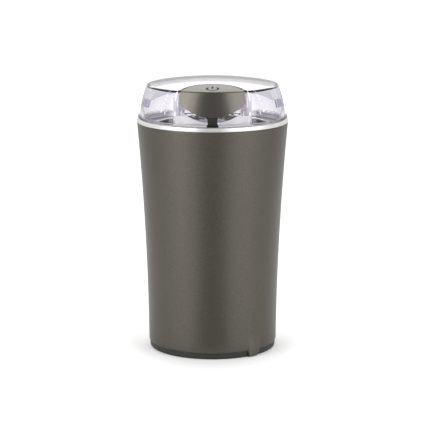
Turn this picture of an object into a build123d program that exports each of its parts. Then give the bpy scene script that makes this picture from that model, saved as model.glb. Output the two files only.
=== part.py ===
"""Electric blade grinder for spices and coffee: every piece as its own solid.

Millimetres, +Z up, front towards -Y. The origin is on the axis of the blade,
at the surface that the feet stand on. A length called ..._YP is measured from
the axis towards the front.
"""
import math
import os

from build123d import *

# ---------------------------------------------------------------- clearances
GAP = 0.3            # between pieces of different bodies
SLIP = 0.08          # radial play of a sliding or turning fit
SEAT = 0.02          # between pieces that are screwed or pressed together

# ------------------------------------------------------------- outer housing
RIM_R = 47.5         # outer radius at the top of the housing
BASE_R = 40.55       # outer radius at the bottom of the housing
SKIRT_Z = 3.4        # lower edge of the housing
FLARE_SAG = 1.33     # how far the side bows in from a straight line
HOUSING_WALL = 2.2
SKIRT_ROUND = 1.6
LEDGE_WIDTH = 2.4    # inner ledge that carries the bowl carrier
LEDGE_HEIGHT = 2.5

# ---------------------------------------------------------------- trim ring
RING_HEIGHT = 2.8
RING_WIDTH = 3.1
RING_ROUND = 1.1

# ------------------------------------------------------------- bowl carrier
DECK_THICK = 2.4
DECK_DROP = 0.9      # top of the deck under the top of the housing
CARRIER_CLEAR = 1.2  # between the stem's back and the carrier's tube
CARRIER_WALL = 1.8
CARRIER_FLOOR = 3.0
BOSS_R = 5.2
BOSS_HEIGHT = 6.0

# -------------------------------------------------------------------- bowl
BOWL_DEPTH = 46.8
BOWL_WALL = 0.8
BOWL_CORNER = 6.0
BOWL_FLANGE = 3.3
GASKET_THICK = 0.8
GASKET_R = 12.0
NUT_ACROSS = 18.0
NUT_THICK = 3.0
SEAL_HEIGHT = 2.0
SEAL_WALL = 0.7

# --------------------------------------------------------------------- lid
FLANGE_INSET = 0.5   # the flange stands back from the trim ring
FLANGE_WIDTH = 1.25  # the wall stands back from the flange
LID_TAPER = 4.75     # how far the wall leans in up to the dome's edge
LID_WALL_SAG = 0.8
LID_HEIGHT = 19.6    # from the top of the flange to the dome's edge
LID_CROWN = 3.7
LID_WALL = 2.0
LID_EDGE_ROUND = 1.6
FLANGE_THICK = 1.2
PLUG_WALL = 1.6      # the skirt that drops inside the trim ring
PLUG_DEPTH = 3.4
PAD_WIDTH = 9.0      # thick pads moulded inside the lid's sides
PAD_HEIGHT = 5.0
PAD_THICK = 1.1
PAD_RISE = 6.4
PAD_TURN = 74.0

# ------------------------------------------------------------ push button
BUTTON_R = 20.6      # rear edge of the button in plan
BUTTON_SET = 1.9     # centre of that edge, in front of the dome's edge
BUTTON_PLAY = 0.8    # between the button and its pocket
POCKET_WALL = 2.0
POCKET_FLOOR = 1.4
SMILE_R = 28.8       # lower edge of the button, seen from the front
SMILE_RISE = 4.4     # its lowest point above the top of the flange
BUTTON_TRAVEL = 3.0
BUTTON_WALL = 1.8
BUTTON_TOP_WALL = 2.2
STEM_WIDTH = 6.2
STEM_DEPTH = 3.8
STEM_SET = 8.0       # the stem's middle, behind the rim of the housing
SLOT_WIDTH = 7.3
CHEEK_THICK = 1.2
CHEEK_DEPTH = 3.2
CARRIER_PLATE = 1.6
PLATE_RISE = 10.4
SYMBOL_R = 4.0
SYMBOL_LINE = 1.0
SYMBOL_DEPTH = 0.4
SYMBOL_SET = 9.3     # behind the centre of the button's rear edge
SYMBOL_OPEN = 70.0
BUTTON_SPRING_X = 10.5
BUTTON_SPRING_SET = 9.9
BUTTON_SPRING_R = 2.4
SPRING_WIRE = 0.35
BUTTON_SPRING_TURNS = 5

# ---------------------------------------------------------- switch plunger
ROD_R = 1.4
PAD_TOP_WIDTH = 5.0
PAD_TOP_DEPTH = 3.6
PAD_TOP_LENGTH = 9.0
FOOT_WIDTH = 4.4
FOOT_THICK = 3.0
FOOT_LAP = 0.5       # how far the foot reaches past the lever's middle
GUIDE_RISE = 6.0     # the guide shelf above the carrier's floor
GUIDE_THICK = 2.2
GUIDE_WIDTH = 7.0
PLUNGER_SPRING_R = 2.15
PLUNGER_SPRING_LENGTH = 16.0
PLUNGER_SPRING_TURNS = 7
COLLAR_R = 2.4
COLLAR_THICK = 1.5

# ------------------------------------------------------------------- motor
SHAFT_R = 2.5
AIR_GAP = 0.6
STACK_HEIGHT = 24.0
STACK_INSET_X = 10.55    # the stack's sides stand back from the base radius
STACK_INSET_Y = 17.55
STACK_CORNER = 6.0
YOKE_X = 5.0
YOKE_Y = 6.0
SHOE_WIDTH = 25.0
SHOE_THICK = 2.6
COIL_GAP = 0.4
COIL_SPARE = 0.4
COIL_THICK = 6.0
COIL_BUILD = 6.8
SLOT_COUNT = 10
END_TURN_INSET = 1.6
END_TURN_LENGTH = 6.0
COMMUTATOR_R = 8.0
COMMUTATOR_LENGTH = 9.0
SEGMENT_COUNT = 20
BRACKET_THICK = 2.5
BRACKET_MARGIN = 1.0
BEARING_R = 6.0
BEARING_LENGTH = 5.0
CUP_WALL = 2.0
SPACER_R = 3.0
BOLT_R = 1.6
BOLT_HEAD_R = 3.0
BOLT_HEAD = 1.6
BOLT_INSET = 4.0
FAN_INSET = 7.0
FAN_HEIGHT = 5.0
FAN_PLATE = 1.2
FAN_HUB_R = 5.0
FAN_BLADES = 9
BUSH_R = 4.5
BUSH_HEIGHT = 3.5
MOUNT_INSET_X = 8.0
MOUNT_INSET_Y = 9.0
FAN_CLEAR = 1.2
SCREW_CLEAR = 1.0
COMMUTATOR_LIFT = 2.9
COMMUTATOR_NECK = 1.6
CUP_FLOOR = 1.2
BRUSH_SPRING_R = 1.7
BRUSH_SPRING_WIRE = 0.25
BRUSH_SPRING_TURNS = 4
BRUSH_WIDTH = 5.0
BRUSH_HEIGHT = 6.4
BRUSH_LENGTH = 9.0
HOLDER_WALL = 1.2
HOLDER_LENGTH = 15.0
WASHER_THICK = 0.8
COLLAR_SHAFT_R = 4.0

# ------------------------------------------------------------------- blade
BLADE_CLEAR = 6.5    # between the blade's tips and the bowl's wall
BLADE_WIDTH = 9.0
BLADE_THICK = 1.4
BLADE_TIP = 7.0
BLADE_TIP_ANGLE = 25.0
BLADE_SPACER_R = 5.0
BLADE_SPACER = 2.2
BLADE_NUT_ACROSS = 8.0
BLADE_NUT_THICK = 3.2

# ------------------------------------------------------- switch and wiring
CASE_LENGTH = 20.0
CASE_THICK = 6.4
CASE_HEIGHT = 10.2
CASE_DROP = 10.0     # the switch's top under the carrier
CASE_LEFT_X = -17.0
CASE_SET = 5.8       # the switch's back in front of the stack
PIVOT_INSET = 2.0
PIVOT_RISE = 1.2
LEVER_ANGLE = 13.0
LEVER_THICK = 0.4
LEVER_WIDTH = 4.2
LEVER_OVERHANG = 2.4
PIN_INSET = 8.5
PIN_R = 1.0
PIN_DEPTH = 3.0
SWITCH_SCREW_R = 1.25
CONTACT_TABS = 3
TAB_LENGTH = 6.0
SWITCH_PLATE = 1.2
SWITCH_FLANGE = 3.4
WIRE_R = 0.9
FUSE_R = 2.0
FUSE_LENGTH = 14.0
BLOCK_X = 20.0
BLOCK_Y = 10.0
BLOCK_Z = 9.0
BLOCK_YP = -7.0
BLOCK_PITCH = 10.0
BLOCK_SCREW_R = 1.6
BLOCK_SCREW_DEPTH = 3.0
BLOCK_WAIST = 1.6
BLOCK_WAIST_DEPTH = 2.5
BLOCK_WIRE_SHARE = 0.6   # height of the wires, as a share of the block's
CAP_X = 18.0
CAP_Y = 8.0
CAP_Z = 14.0

# -------------------------------------------------------------------- base
FLOOR_LIFT = 0.9     # underside of the base above the surface
BASE_PLATE = 2.8
BASE_INSET = 1.1     # the dark band stands back from the housing
BASE_RIM = 3.4       # width of the base's upstanding rim
FOOT_R = 4.5
FOOT_INSET = 10.55
FOOT_COUNT = 4
FOOT_RECESS = 1.0
BASE_SCREW_INSET = 7.25
BASE_SCREW_R = 1.3
BASE_BOSS_R = 3.4
BASE_BOSS_HEIGHT = 15.0
BASE_ROOM = 16.6     # between the base's floor and the motor
BASE_SCREW_HEAD_R = 2.6
BASE_SCREW_HEAD = 1.8
VENT_COUNT = 12
VENT_R = 20.0
VENT_LENGTH = 9.0
VENT_WIDTH = 2.0
LUG_TURN = 36.5      # towards the right of the front
LUG_WIDTH = 7.6
LUG_REACH = 2.9
LUG_TOP_Z = 8.0
LUG_LIFT = 0.5
LUG_RAMP = 5.4
GLAND_R = 4.6
GLAND_BORE_R = 2.6
GLAND_Z = 13.0
GLAND_OUT = 5.0
GLAND_IN = 3.0
GLAND_LIP_R = 6.2
GLAND_LIP = 1.6

# ---------------------------------------------- heights that follow from these
STACK_X = 2 * (BASE_R - STACK_INSET_X)
STACK_Y = 2 * (BASE_R - STACK_INSET_Y)
WINDOW_X = STACK_X / 2 - YOKE_X
WINDOW_Y = STACK_Y / 2 - YOKE_Y
BORE_R = WINDOW_X - COIL_THICK - 2 * COIL_GAP - SHOE_THICK
ARMATURE_R = BORE_R - AIR_GAP
POLE_WIDTH = 2 * (WINDOW_Y - COIL_BUILD - 2 * COIL_GAP - COIL_SPARE)
END_TURN_R = ARMATURE_R - END_TURN_INSET
FAN_R = STACK_X / 2 - FAN_INSET
BOLT_X = STACK_X / 2 - BOLT_INSET
BOLT_Y = STACK_Y / 2 - BOLT_INSET
MOUNT_X = STACK_X / 2 - MOUNT_INSET_X
MOUNT_Y = STACK_Y / 2 - MOUNT_INSET_Y
UPPER_SPACER = (COIL_GAP + COIL_BUILD + FAN_CLEAR + FAN_HEIGHT + SCREW_CLEAR
                + BOLT_HEAD)
LOWER_SPACER = END_TURN_LENGTH + COMMUTATOR_NECK + COMMUTATOR_LENGTH + COMMUTATOR_LIFT
BASE_FLOOR_Z = FLOOR_LIFT + BASE_PLATE
SCREW_SEAT_Z = BASE_FLOOR_Z - 0.4
PLATE_TOP_Z = SKIRT_Z + BASE_PLATE
LOWER_CUP_Z = BASE_FLOOR_Z + BASE_ROOM
LOWER_PLATE_TOP_Z = LOWER_CUP_Z + CUP_FLOOR + BEARING_LENGTH
LOWER_PLATE_Z = LOWER_PLATE_TOP_Z - BRACKET_THICK
STACK_Z = LOWER_PLATE_TOP_Z + LOWER_SPACER
STACK_TOP_Z = STACK_Z + STACK_HEIGHT
UPPER_PLATE_Z = STACK_TOP_Z + UPPER_SPACER
UPPER_PLATE_TOP_Z = UPPER_PLATE_Z + BRACKET_THICK
CARRIER_UNDER_Z = UPPER_PLATE_TOP_Z + BUSH_HEIGHT
CARRIER_FLOOR_Z = CARRIER_UNDER_Z + CARRIER_FLOOR
BOWL_FLOOR_Z = CARRIER_FLOOR_Z + GASKET_THICK + BOWL_WALL
DECK_TOP_Z = BOWL_FLOOR_Z + BOWL_DEPTH
RIM_Z = DECK_TOP_Z + DECK_DROP
RING_TOP_Z = RIM_Z + RING_HEIGHT
FLANGE_Z = RING_TOP_Z + GAP
WALL_Z = FLANGE_Z + FLANGE_THICK
EDGE_Z = WALL_Z + LID_HEIGHT
APEX_Z = EDGE_Z + LID_CROWN
RING_INNER_R = RIM_R - RING_WIDTH
FLANGE_R = RIM_R - FLANGE_INSET
LID_BASE_R = FLANGE_R - FLANGE_WIDTH
LID_EDGE_R = LID_BASE_R - LID_TAPER
BUTTON_YP = LID_EDGE_R + BUTTON_SET
STEM_YP = RIM_R - STEM_SET
SYMBOL_YP = BUTTON_YP - SYMBOL_SET
BUTTON_SPRING_YP = BUTTON_YP - BUTTON_SPRING_SET
CARRIER_R = STEM_YP - STEM_DEPTH / 2 - CARRIER_CLEAR
BOWL_R = CARRIER_R - CARRIER_WALL - GAP - BOWL_WALL
BLADE_R = BOWL_R - BLADE_CLEAR
SMILE_Z = WALL_Z + SMILE_RISE + SMILE_R
POCKET_R = BUTTON_R + BUTTON_PLAY
POCKET_FLOOR_Z = WALL_Z + 0.4
PLATE_Z = WALL_Z + PLATE_RISE
STEM_FOOT_Z = DECK_TOP_Z - 0.9
PLUNGER_TOP_Z = STEM_FOOT_Z - GAP
GUIDE_Z = CARRIER_FLOOR_Z + GUIDE_RISE
COMMUTATOR_TOP_Z = STACK_Z - END_TURN_LENGTH - COMMUTATOR_NECK
COMMUTATOR_Z = COMMUTATOR_TOP_Z - COMMUTATOR_LENGTH
FAN_TOP_Z = UPPER_PLATE_Z - BOLT_HEAD - SCREW_CLEAR
FAN_Z = FAN_TOP_Z - FAN_HEIGHT
BLADE_Z = CARRIER_FLOOR_Z + BOSS_HEIGHT + GAP + BLADE_SPACER
SHAFT_TOP_Z = BLADE_Z + BLADE_THICK + BLADE_NUT_THICK
CASE_TOP_Z = CARRIER_UNDER_Z - CASE_DROP
CASE_BACK_YP = STACK_Y / 2 + CASE_SET
PIVOT_X = CASE_LEFT_X + PIVOT_INSET
PIVOT_Z = CASE_TOP_Z + PIVOT_RISE
LEVER_YP = CASE_BACK_YP + CASE_THICK / 2
LEVER_ARM = -PIVOT_X
LEVER_SLOPE = math.tan(math.radians(LEVER_ANGLE))
LEVER_TOP_Z = (PIVOT_Z + (LEVER_ARM + FOOT_WIDTH / 2) * LEVER_SLOPE
               + LEVER_THICK / math.cos(math.radians(LEVER_ANGLE)))
FOOT_Z = LEVER_TOP_Z + GAP
FOOT_RING_R = BASE_R - FOOT_INSET
BASE_SCREW_RING_R = BASE_R - BASE_SCREW_INSET
CORNER_POINTS = [(sx, sy) for sx in (-1, 1) for sy in (-1, 1)]

ABOVE = (Align.CENTER, Align.CENTER, Align.MIN)


# ------------------------------------------------------------------- helpers
def rod(radius, low, high, x=0.0, y=0.0):
    """A vertical cylinder between two heights."""
    return Pos(x, y, low) * Cylinder(radius, high - low, align=ABOVE)


def tube(outer, inner, low, high, x=0.0, y=0.0):
    """A vertical tube between two heights."""
    bore = rod(inner, low - 1, high + 1, x, y)
    return rod(outer, low, high, x, y) - bore


def bar(x0, x1, y0, y1, z0, z1):
    """A box between two corners."""
    size = Box(x1 - x0, y1 - y0, z1 - z0)
    return Pos((x0 + x1) / 2, (y0 + y1) / 2, (z0 + z1) / 2) * size


def rod_along_y(radius, y0, y1, x, z):
    """A cylinder that lies along Y."""
    return Pos(x, (y0 + y1) / 2, z) * Rot(90, 0, 0) * Cylinder(radius, abs(y1 - y0))


def bowed(start, end, sag):
    """The middle point of an arc that bows out from its chord by sag."""
    dx = end[0] - start[0]
    dz = end[1] - start[1]
    length = math.hypot(dx, dz)
    return ((start[0] + end[0]) / 2 + sag * dz / length,
            (start[1] + end[1]) / 2 - sag * dx / length)


def turned(points, arcs):
    """A solid of revolution about Z.

    points are (radius, height) corners in order; arcs gives the sag of the side
    that starts at a corner's index, and the other sides are straight.
    """
    edges = []
    for i, start in enumerate(points):
        end = points[(i + 1) % len(points)]
        a = (start[0], 0, start[1])
        b = (end[0], 0, end[1])
        if i in arcs:
            middle = bowed(start, end, arcs[i])
            edges.append(Edge.make_three_point_arc(a, (middle[0], 0, middle[1]), b))
        else:
            edges.append(Edge.make_line(a, b))
    return revolve(make_face(edges), axis=Axis.Z)


def level_edges(shape, z):
    """The edges that lie flat at a height."""
    flat = []
    for edge in shape.edges():
        box = edge.bounding_box()
        if abs(box.min.Z - z) < 0.001 and abs(box.max.Z - z) < 0.001:
            flat.append(edge)
    return flat


def ring_of(shape, count, start=0.0):
    """Copies of a shape turned evenly about Z."""
    return [Rot(0, 0, start + 360.0 * i / count) * shape for i in range(count)]


def group(shapes):
    """Several separate solids as one node."""
    return Compound(children=[s for shape in shapes for s in shape.solids()])


def hexagon(across, low, high):
    """A hexagonal prism on the axis."""
    outline = RegularPolygon(across / 2, 6, major_radius=False)
    return Pos(0, 0, low) * extrude(outline, high - low)


def coil_spring(radius, wire, low, high, turns, x, y):
    """A compression spring with closed rings at both ends."""
    z0 = low + wire
    z1 = high - wire
    helix = Helix((z1 - z0) / turns, z1 - z0, radius)
    section = Plane(helix @ 0, z_dir=helix % 0) * Circle(wire)
    body = sweep(section, path=helix, is_frenet=True)
    return Pos(x, y, z0) * body


# ------------------------------------------------------------- outer housing
def housing_form(inset, low, high):
    """The flared round form of the housing, inset by a wall."""
    points = [(0, low), (BASE_R - inset, low), (RIM_R - inset, high), (0, high)]
    return turned(points, {1: -FLARE_SAG})


def housing_r(z):
    """Outer radius of the housing at a height, near enough for what stands inside."""
    t = (z - SKIRT_Z) / (RIM_Z - SKIRT_Z)
    return BASE_R + (RIM_R - BASE_R) * t - 4 * FLARE_SAG * t * (1 - t)


def foot_lug():
    """The lug that reaches down to the surface at the front right of the skirt."""
    inner = BASE_R - HOUSING_WALL
    outer = BASE_R + LUG_REACH
    lug = bar(-LUG_WIDTH / 2, LUG_WIDTH / 2, -outer, -inner - 0.3, LUG_LIFT, LUG_TOP_Z)
    ramp = lug.edges().filter_by(Axis.X).group_by(Axis.Y)[0].sort_by(Axis.Z)[-1]
    lug = chamfer(ramp, LUG_RAMP, LUG_REACH + 0.2)
    lug = fillet(lug.edges().group_by(Axis.Y)[0].filter_by(Axis.Z), 1.6)
    return Rot(0, 0, LUG_TURN) * lug


def base_screw_spots():
    """Centres of the base screws."""
    angles = [45 + 90 * i for i in range(FOOT_COUNT)]
    return [(BASE_SCREW_RING_R * math.cos(math.radians(a)),
             BASE_SCREW_RING_R * math.sin(math.radians(a))) for a in angles]


def housing_shell():
    """Painted shell with its ledge, screw bosses, lug and cord hole."""
    outer = housing_form(0, SKIRT_Z, RIM_Z)
    outer = fillet(outer.edges().group_by(Axis.Z)[0], SKIRT_ROUND)
    inner = housing_form(HOUSING_WALL, SKIRT_Z, RIM_Z)
    shell = outer - inner
    ledge_top = DECK_TOP_Z - DECK_THICK
    ledge_r = housing_r(ledge_top) - HOUSING_WALL
    ledge = tube(ledge_r + 1, ledge_r - LEDGE_WIDTH, ledge_top - LEDGE_HEIGHT, ledge_top)
    shell += ledge
    for x, y in base_screw_spots():
        boss = rod(BASE_BOSS_R, PLATE_TOP_Z + SEAT, PLATE_TOP_Z + BASE_BOSS_HEIGHT, x, y)
        turn = math.degrees(math.atan2(y, x))
        web_end = housing_r(PLATE_TOP_Z) - HOUSING_WALL / 2
        web = bar(BASE_SCREW_RING_R, web_end, -1.5, 1.5,
                  PLATE_TOP_Z + SEAT, PLATE_TOP_Z + BASE_BOSS_HEIGHT)
        shell += boss + Rot(0, 0, turn) * web
    for x, y in base_screw_spots():
        shell -= rod(BASE_SCREW_R, SKIRT_Z, PLATE_TOP_Z + BASE_BOSS_HEIGHT - 2, x, y)
    shell += foot_lug()
    hole = rod_along_y(GLAND_R + SEAT, 0, RIM_R, 0, GLAND_Z)
    return shell - hole


def trim_ring():
    """Bright metal ring between the housing and the lid."""
    ring = tube(RIM_R, RING_INNER_R, RIM_Z, RING_TOP_Z)
    rounded = ring.edges().filter_by(GeomType.CIRCLE)
    outside = [e for e in rounded if e.radius > RIM_R - 0.01]
    ring = fillet(outside, RING_ROUND)
    lip_r = RIM_R - HOUSING_WALL - 5 * SEAT
    lip_low = DECK_TOP_Z + SEAT
    return ring + tube(lip_r, RING_INNER_R, lip_low, RIM_Z + 0.5)


def base_plate():
    """Dark base with its band, vents, foot recesses and screw holes."""
    band_r = BASE_R - BASE_INSET
    plate = rod(band_r, FLOOR_LIFT, SKIRT_Z - SEAT)
    plate = fillet(plate.edges().group_by(Axis.Z)[0], 0.8)
    plate += rod(BASE_R - HOUSING_WALL - GAP, SKIRT_Z - 1, PLATE_TOP_Z)
    plate -= rod(band_r - BASE_RIM, BASE_FLOOR_Z, PLATE_TOP_Z + 1)
    for x, y in base_screw_spots():
        plate += rod(BASE_BOSS_R + 1, BASE_FLOOR_Z - 1, PLATE_TOP_Z, x, y)
    for x, y in base_screw_spots():
        plate -= rod(BASE_SCREW_R + GAP / 2, 0, PLATE_TOP_Z + 1, x, y)
        plate -= rod(BASE_SCREW_HEAD_R + GAP, 0, SCREW_SEAT_Z, x, y)
    slot = bar(VENT_R - VENT_LENGTH / 2, VENT_R + VENT_LENGTH / 2,
               -VENT_WIDTH / 2, VENT_WIDTH / 2, 0, PLATE_TOP_Z + 1)
    slot = fillet(slot.edges().filter_by(Axis.Z), VENT_WIDTH / 2 - 0.05)
    for vent in ring_of(slot, VENT_COUNT, 15):
        plate -= vent
    for recess in ring_of(rod(FOOT_R + SEAT, 0, FLOOR_LIFT + FOOT_RECESS, FOOT_RING_R),
                          FOOT_COUNT):
        plate -= recess
    lug_room = bar(-LUG_WIDTH / 2 - GAP, LUG_WIDTH / 2 + GAP, -BASE_R - LUG_REACH,
                   -BASE_R + HOUSING_WALL, 0, LUG_TOP_Z)
    return plate - Rot(0, 0, LUG_TURN) * lug_room


def rubber_feet():
    """Round feet pressed into the base."""
    foot = rod(FOOT_R, 0, FLOOR_LIFT + FOOT_RECESS - SEAT, FOOT_RING_R)
    foot = chamfer(foot.edges().group_by(Axis.Z)[0], 0.4)
    return group(ring_of(foot, FOOT_COUNT))


def screw(radius, head_r, head_height, length, x, y, z, up=True):
    """A screw whose head starts at z, with a slot across the head."""
    sign = 1 if up else -1
    head = rod(head_r, min(0, sign * head_height), max(0, sign * head_height))
    shank = rod(radius, min(0, sign * length), max(0, sign * length))
    slot = bar(-head_r, head_r, -0.4, 0.4, min(0, sign * 0.7), max(0, sign * 0.7))
    return Pos(x, y, z) * (head + shank - slot)


def base_screws():
    """Screws that hold the base to the housing's bosses."""
    head_z = SCREW_SEAT_Z - BASE_SCREW_HEAD - SEAT
    length = BASE_BOSS_HEIGHT
    return group([screw(BASE_SCREW_R - SEAT, BASE_SCREW_HEAD_R, BASE_SCREW_HEAD,
                        length, x, y, head_z) for x, y in base_screw_spots()])


def cord_gland():
    """Grommet in the rear wall where the mains cord would pass."""
    wall_out = housing_r(GLAND_Z)
    inner = wall_out - HOUSING_WALL - GLAND_IN
    gland = rod_along_y(GLAND_R, inner, wall_out + GLAND_OUT, 0, GLAND_Z)
    gland += rod_along_y(GLAND_LIP_R, wall_out + 0.5, wall_out + 0.5 + GLAND_LIP,
                         0, GLAND_Z)
    lip_in = wall_out - HOUSING_WALL - 0.6
    gland += rod_along_y(GLAND_LIP_R, lip_in - GLAND_LIP, lip_in, 0, GLAND_Z)
    outer_edge = gland.edges().filter_by(GeomType.CIRCLE).sort_by(Axis.Y)[-1]
    gland = fillet(outer_edge, 0.8)
    return gland - rod_along_y(GLAND_BORE_R, inner - 1, RIM_R + 5, 0, GLAND_Z)


# ------------------------------------------------------------ bowl and carrier
def mount_spots():
    """Centres of the motor's rubber mounts."""
    return [(sx * MOUNT_X, sy * MOUNT_Y) for sx, sy in CORNER_POINTS]


def stem_window(low, high):
    """Room in the deck for the stem and the switch plunger's head."""
    half_x = STEM_WIDTH / 2 + GAP
    half_y = STEM_DEPTH / 2 + GAP
    return bar(-half_x, half_x, -STEM_YP - half_y, -STEM_YP + half_y, low, high)


def bowl_carrier():
    """Black frame: deck, tube round the bowl, floor with the shaft boss."""
    deck_r = RIM_R - HOUSING_WALL - GAP
    deck = tube(deck_r, CARRIER_R - CARRIER_WALL, DECK_TOP_Z - DECK_THICK, DECK_TOP_Z)
    wall = tube(CARRIER_R, CARRIER_R - CARRIER_WALL, CARRIER_UNDER_Z, DECK_TOP_Z)
    floor = rod(CARRIER_R, CARRIER_UNDER_Z, CARRIER_FLOOR_Z)
    boss = rod(BOSS_R, CARRIER_FLOOR_Z - 1, CARRIER_FLOOR_Z + BOSS_HEIGHT)
    carrier = deck + wall + floor + boss
    shelf = bar(-GUIDE_WIDTH / 2, GUIDE_WIDTH / 2, -STEM_YP - 1.8, -CARRIER_R + 0.6,
                GUIDE_Z, GUIDE_Z + GUIDE_THICK)
    carrier += shelf
    carrier -= rod(ROD_R + SLIP, GUIDE_Z - 1, GUIDE_Z + GUIDE_THICK + 1, 0, -STEM_YP)
    carrier -= stem_window(DECK_TOP_Z - DECK_THICK - 1, DECK_TOP_Z + 1)
    seat_r = SHAFT_R + SLIP + SEAL_WALL
    carrier -= rod(SHAFT_R + 0.5, CARRIER_UNDER_Z - 1, CARRIER_FLOOR_Z + BOSS_HEIGHT + 1)
    carrier -= rod(seat_r, CARRIER_FLOOR_Z + BOSS_HEIGHT - SEAL_HEIGHT,
                   CARRIER_FLOOR_Z + BOSS_HEIGHT + 1)
    for x, y in mount_spots():
        carrier -= rod(BOLT_R, CARRIER_UNDER_Z - 1, CARRIER_FLOOR_Z + 1, x, y)
    return carrier


def grinding_bowl():
    """Deep-drawn steel bowl with a rolled flange."""
    under = BOWL_FLOOR_Z - BOWL_WALL
    flange_top = DECK_TOP_Z + SEAT + BOWL_WALL
    outer = rod(BOWL_R + BOWL_WALL, under, flange_top)
    outer = fillet(outer.edges().group_by(Axis.Z)[0], BOWL_CORNER + BOWL_WALL)
    inner = rod(BOWL_R, BOWL_FLOOR_Z, flange_top + 10)
    inner = fillet(inner.edges().group_by(Axis.Z)[0], BOWL_CORNER)
    flange = tube(BOWL_R + BOWL_FLANGE, BOWL_R, DECK_TOP_Z + SEAT, flange_top)
    bowl = outer + flange - inner
    return bowl - rod(BOSS_R + SEAT, under - 1, BOWL_FLOOR_Z + 1)


def bowl_gasket():
    """Rubber ring between the bowl and the carrier's floor."""
    return tube(GASKET_R, BOSS_R + SEAT, CARRIER_FLOOR_Z, CARRIER_FLOOR_Z + GASKET_THICK)


def bowl_nut():
    """Nut on the boss that holds the bowl down."""
    nut = hexagon(NUT_ACROSS, BOWL_FLOOR_Z, BOWL_FLOOR_Z + NUT_THICK)
    return nut - rod(BOSS_R + SEAT, BOWL_FLOOR_Z - 1, BOWL_FLOOR_Z + NUT_THICK + 1)


def shaft_seal():
    """Lip seal at the top of the boss."""
    top = CARRIER_FLOOR_Z + BOSS_HEIGHT
    return tube(SHAFT_R + SLIP + SEAL_WALL, SHAFT_R + SLIP, top - SEAL_HEIGHT, top)


# ---------------------------------------------------------------------- lid
def lid_form(inset, low=FLANGE_Z - 1):
    """The lid's outer form, inset by a wall thickness and straight under the wall."""
    edge = (LID_EDGE_R - inset, EDGE_Z - inset)
    top = (0, APEX_Z - inset)
    chord = math.dist(edge, top)
    crown_r = (edge[0] ** 2 + (top[1] - edge[1]) ** 2) / (2 * (top[1] - edge[1]))
    crown_sag = crown_r - math.sqrt(crown_r ** 2 - (chord / 2) ** 2)
    base_r = LID_BASE_R - inset
    points = [(0, low), (base_r, low), (base_r, WALL_Z), edge, top]
    form = turned(points, {2: LID_WALL_SAG, 3: crown_sag})
    return fillet(level_edges(form, edge[1]), max(LID_EDGE_ROUND - inset, 0.5))


def button_column(radius, low, high):
    """The vertical column that the button and its pocket are cut with."""
    return rod(radius, low, high, 0, -BUTTON_YP)


def smile_cut(radius):
    """All that lies above the smile-shaped edge, as a solid through Y."""
    arch = rod_along_y(radius, -2 * RIM_R, RIM_R, 0, SMILE_Z)
    above = bar(-radius, radius, -2 * RIM_R, RIM_R, SMILE_Z, SMILE_Z + 2 * radius)
    return arch + above


def lid_shell():
    """Clear lid with its flange, plug, button pocket and slotted floor."""
    outer = lid_form(0, WALL_Z - 0.2)
    inner = lid_form(LID_WALL, WALL_Z - 0.4)
    shell = outer - inner
    flange_in = LID_BASE_R - LID_WALL
    flange = tube(FLANGE_R, flange_in, FLANGE_Z, WALL_Z)
    flange = fillet([e for e in flange.edges().filter_by(GeomType.CIRCLE)
                     if e.radius > FLANGE_R - 0.01], 0.4)
    plug_r = RING_INNER_R - GAP
    plug = tube(plug_r, plug_r - PLUG_WALL, FLANGE_Z - PLUG_DEPTH, FLANGE_Z + 0.4)
    shell += flange + plug
    pocket = button_column(POCKET_R + POCKET_WALL, POCKET_FLOOR_Z - POCKET_FLOOR, APEX_Z)
    pocket -= button_column(POCKET_R, POCKET_FLOOR_Z, APEX_Z + 1)
    room = lid_form(LID_WALL - 0.2, POCKET_FLOOR_Z - POCKET_FLOOR - 0.2)
    shell += pocket & room
    shell -= button_column(POCKET_R, WALL_Z, APEX_Z + 5) & smile_cut(SMILE_R + BUTTON_TRAVEL)
    shell += cheeks()
    slot_end = -STEM_YP + STEM_DEPTH / 2 + GAP
    slot = bar(-SLOT_WIDTH / 2, SLOT_WIDTH / 2, -RIM_R - 5, slot_end,
               FLANGE_Z - PLUG_DEPTH - 1, SMILE_Z - SMILE_R)
    shell -= slot
    pad = bar(LID_BASE_R - LID_WALL - 8, LID_BASE_R, -PAD_WIDTH / 2, PAD_WIDTH / 2,
              WALL_Z + PAD_RISE, WALL_Z + PAD_RISE + PAD_HEIGHT)
    band = lid_form(LID_WALL - 0.2) - lid_form(LID_WALL + PAD_THICK, FLANGE_Z - 2)
    for side in (-1, 1):
        turn = -90 + side * PAD_TURN
        shell += (Rot(0, 0, turn) * pad) & band
    return shell


def cheeks():
    """Two upright cheeks in the pocket that guide the stem."""
    near = -STEM_YP - STEM_DEPTH / 2
    top = SMILE_Z - SMILE_R - 0.6
    pair = Part()
    for side in (-1, 1):
        inner = side * SLOT_WIDTH / 2
        outer = side * (SLOT_WIDTH / 2 + CHEEK_THICK)
        pair += bar(min(inner, outer), max(inner, outer), near, near + CHEEK_DEPTH,
                    POCKET_FLOOR_Z - 0.2, top)
    return pair


# ------------------------------------------------------------- push button
def button_form(inset):
    """The button's outer form: a column under the lid's own surface."""
    column = button_column(BUTTON_R - inset, WALL_Z, APEX_Z + 1)
    return column & lid_form(inset) & smile_cut(SMILE_R)


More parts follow.
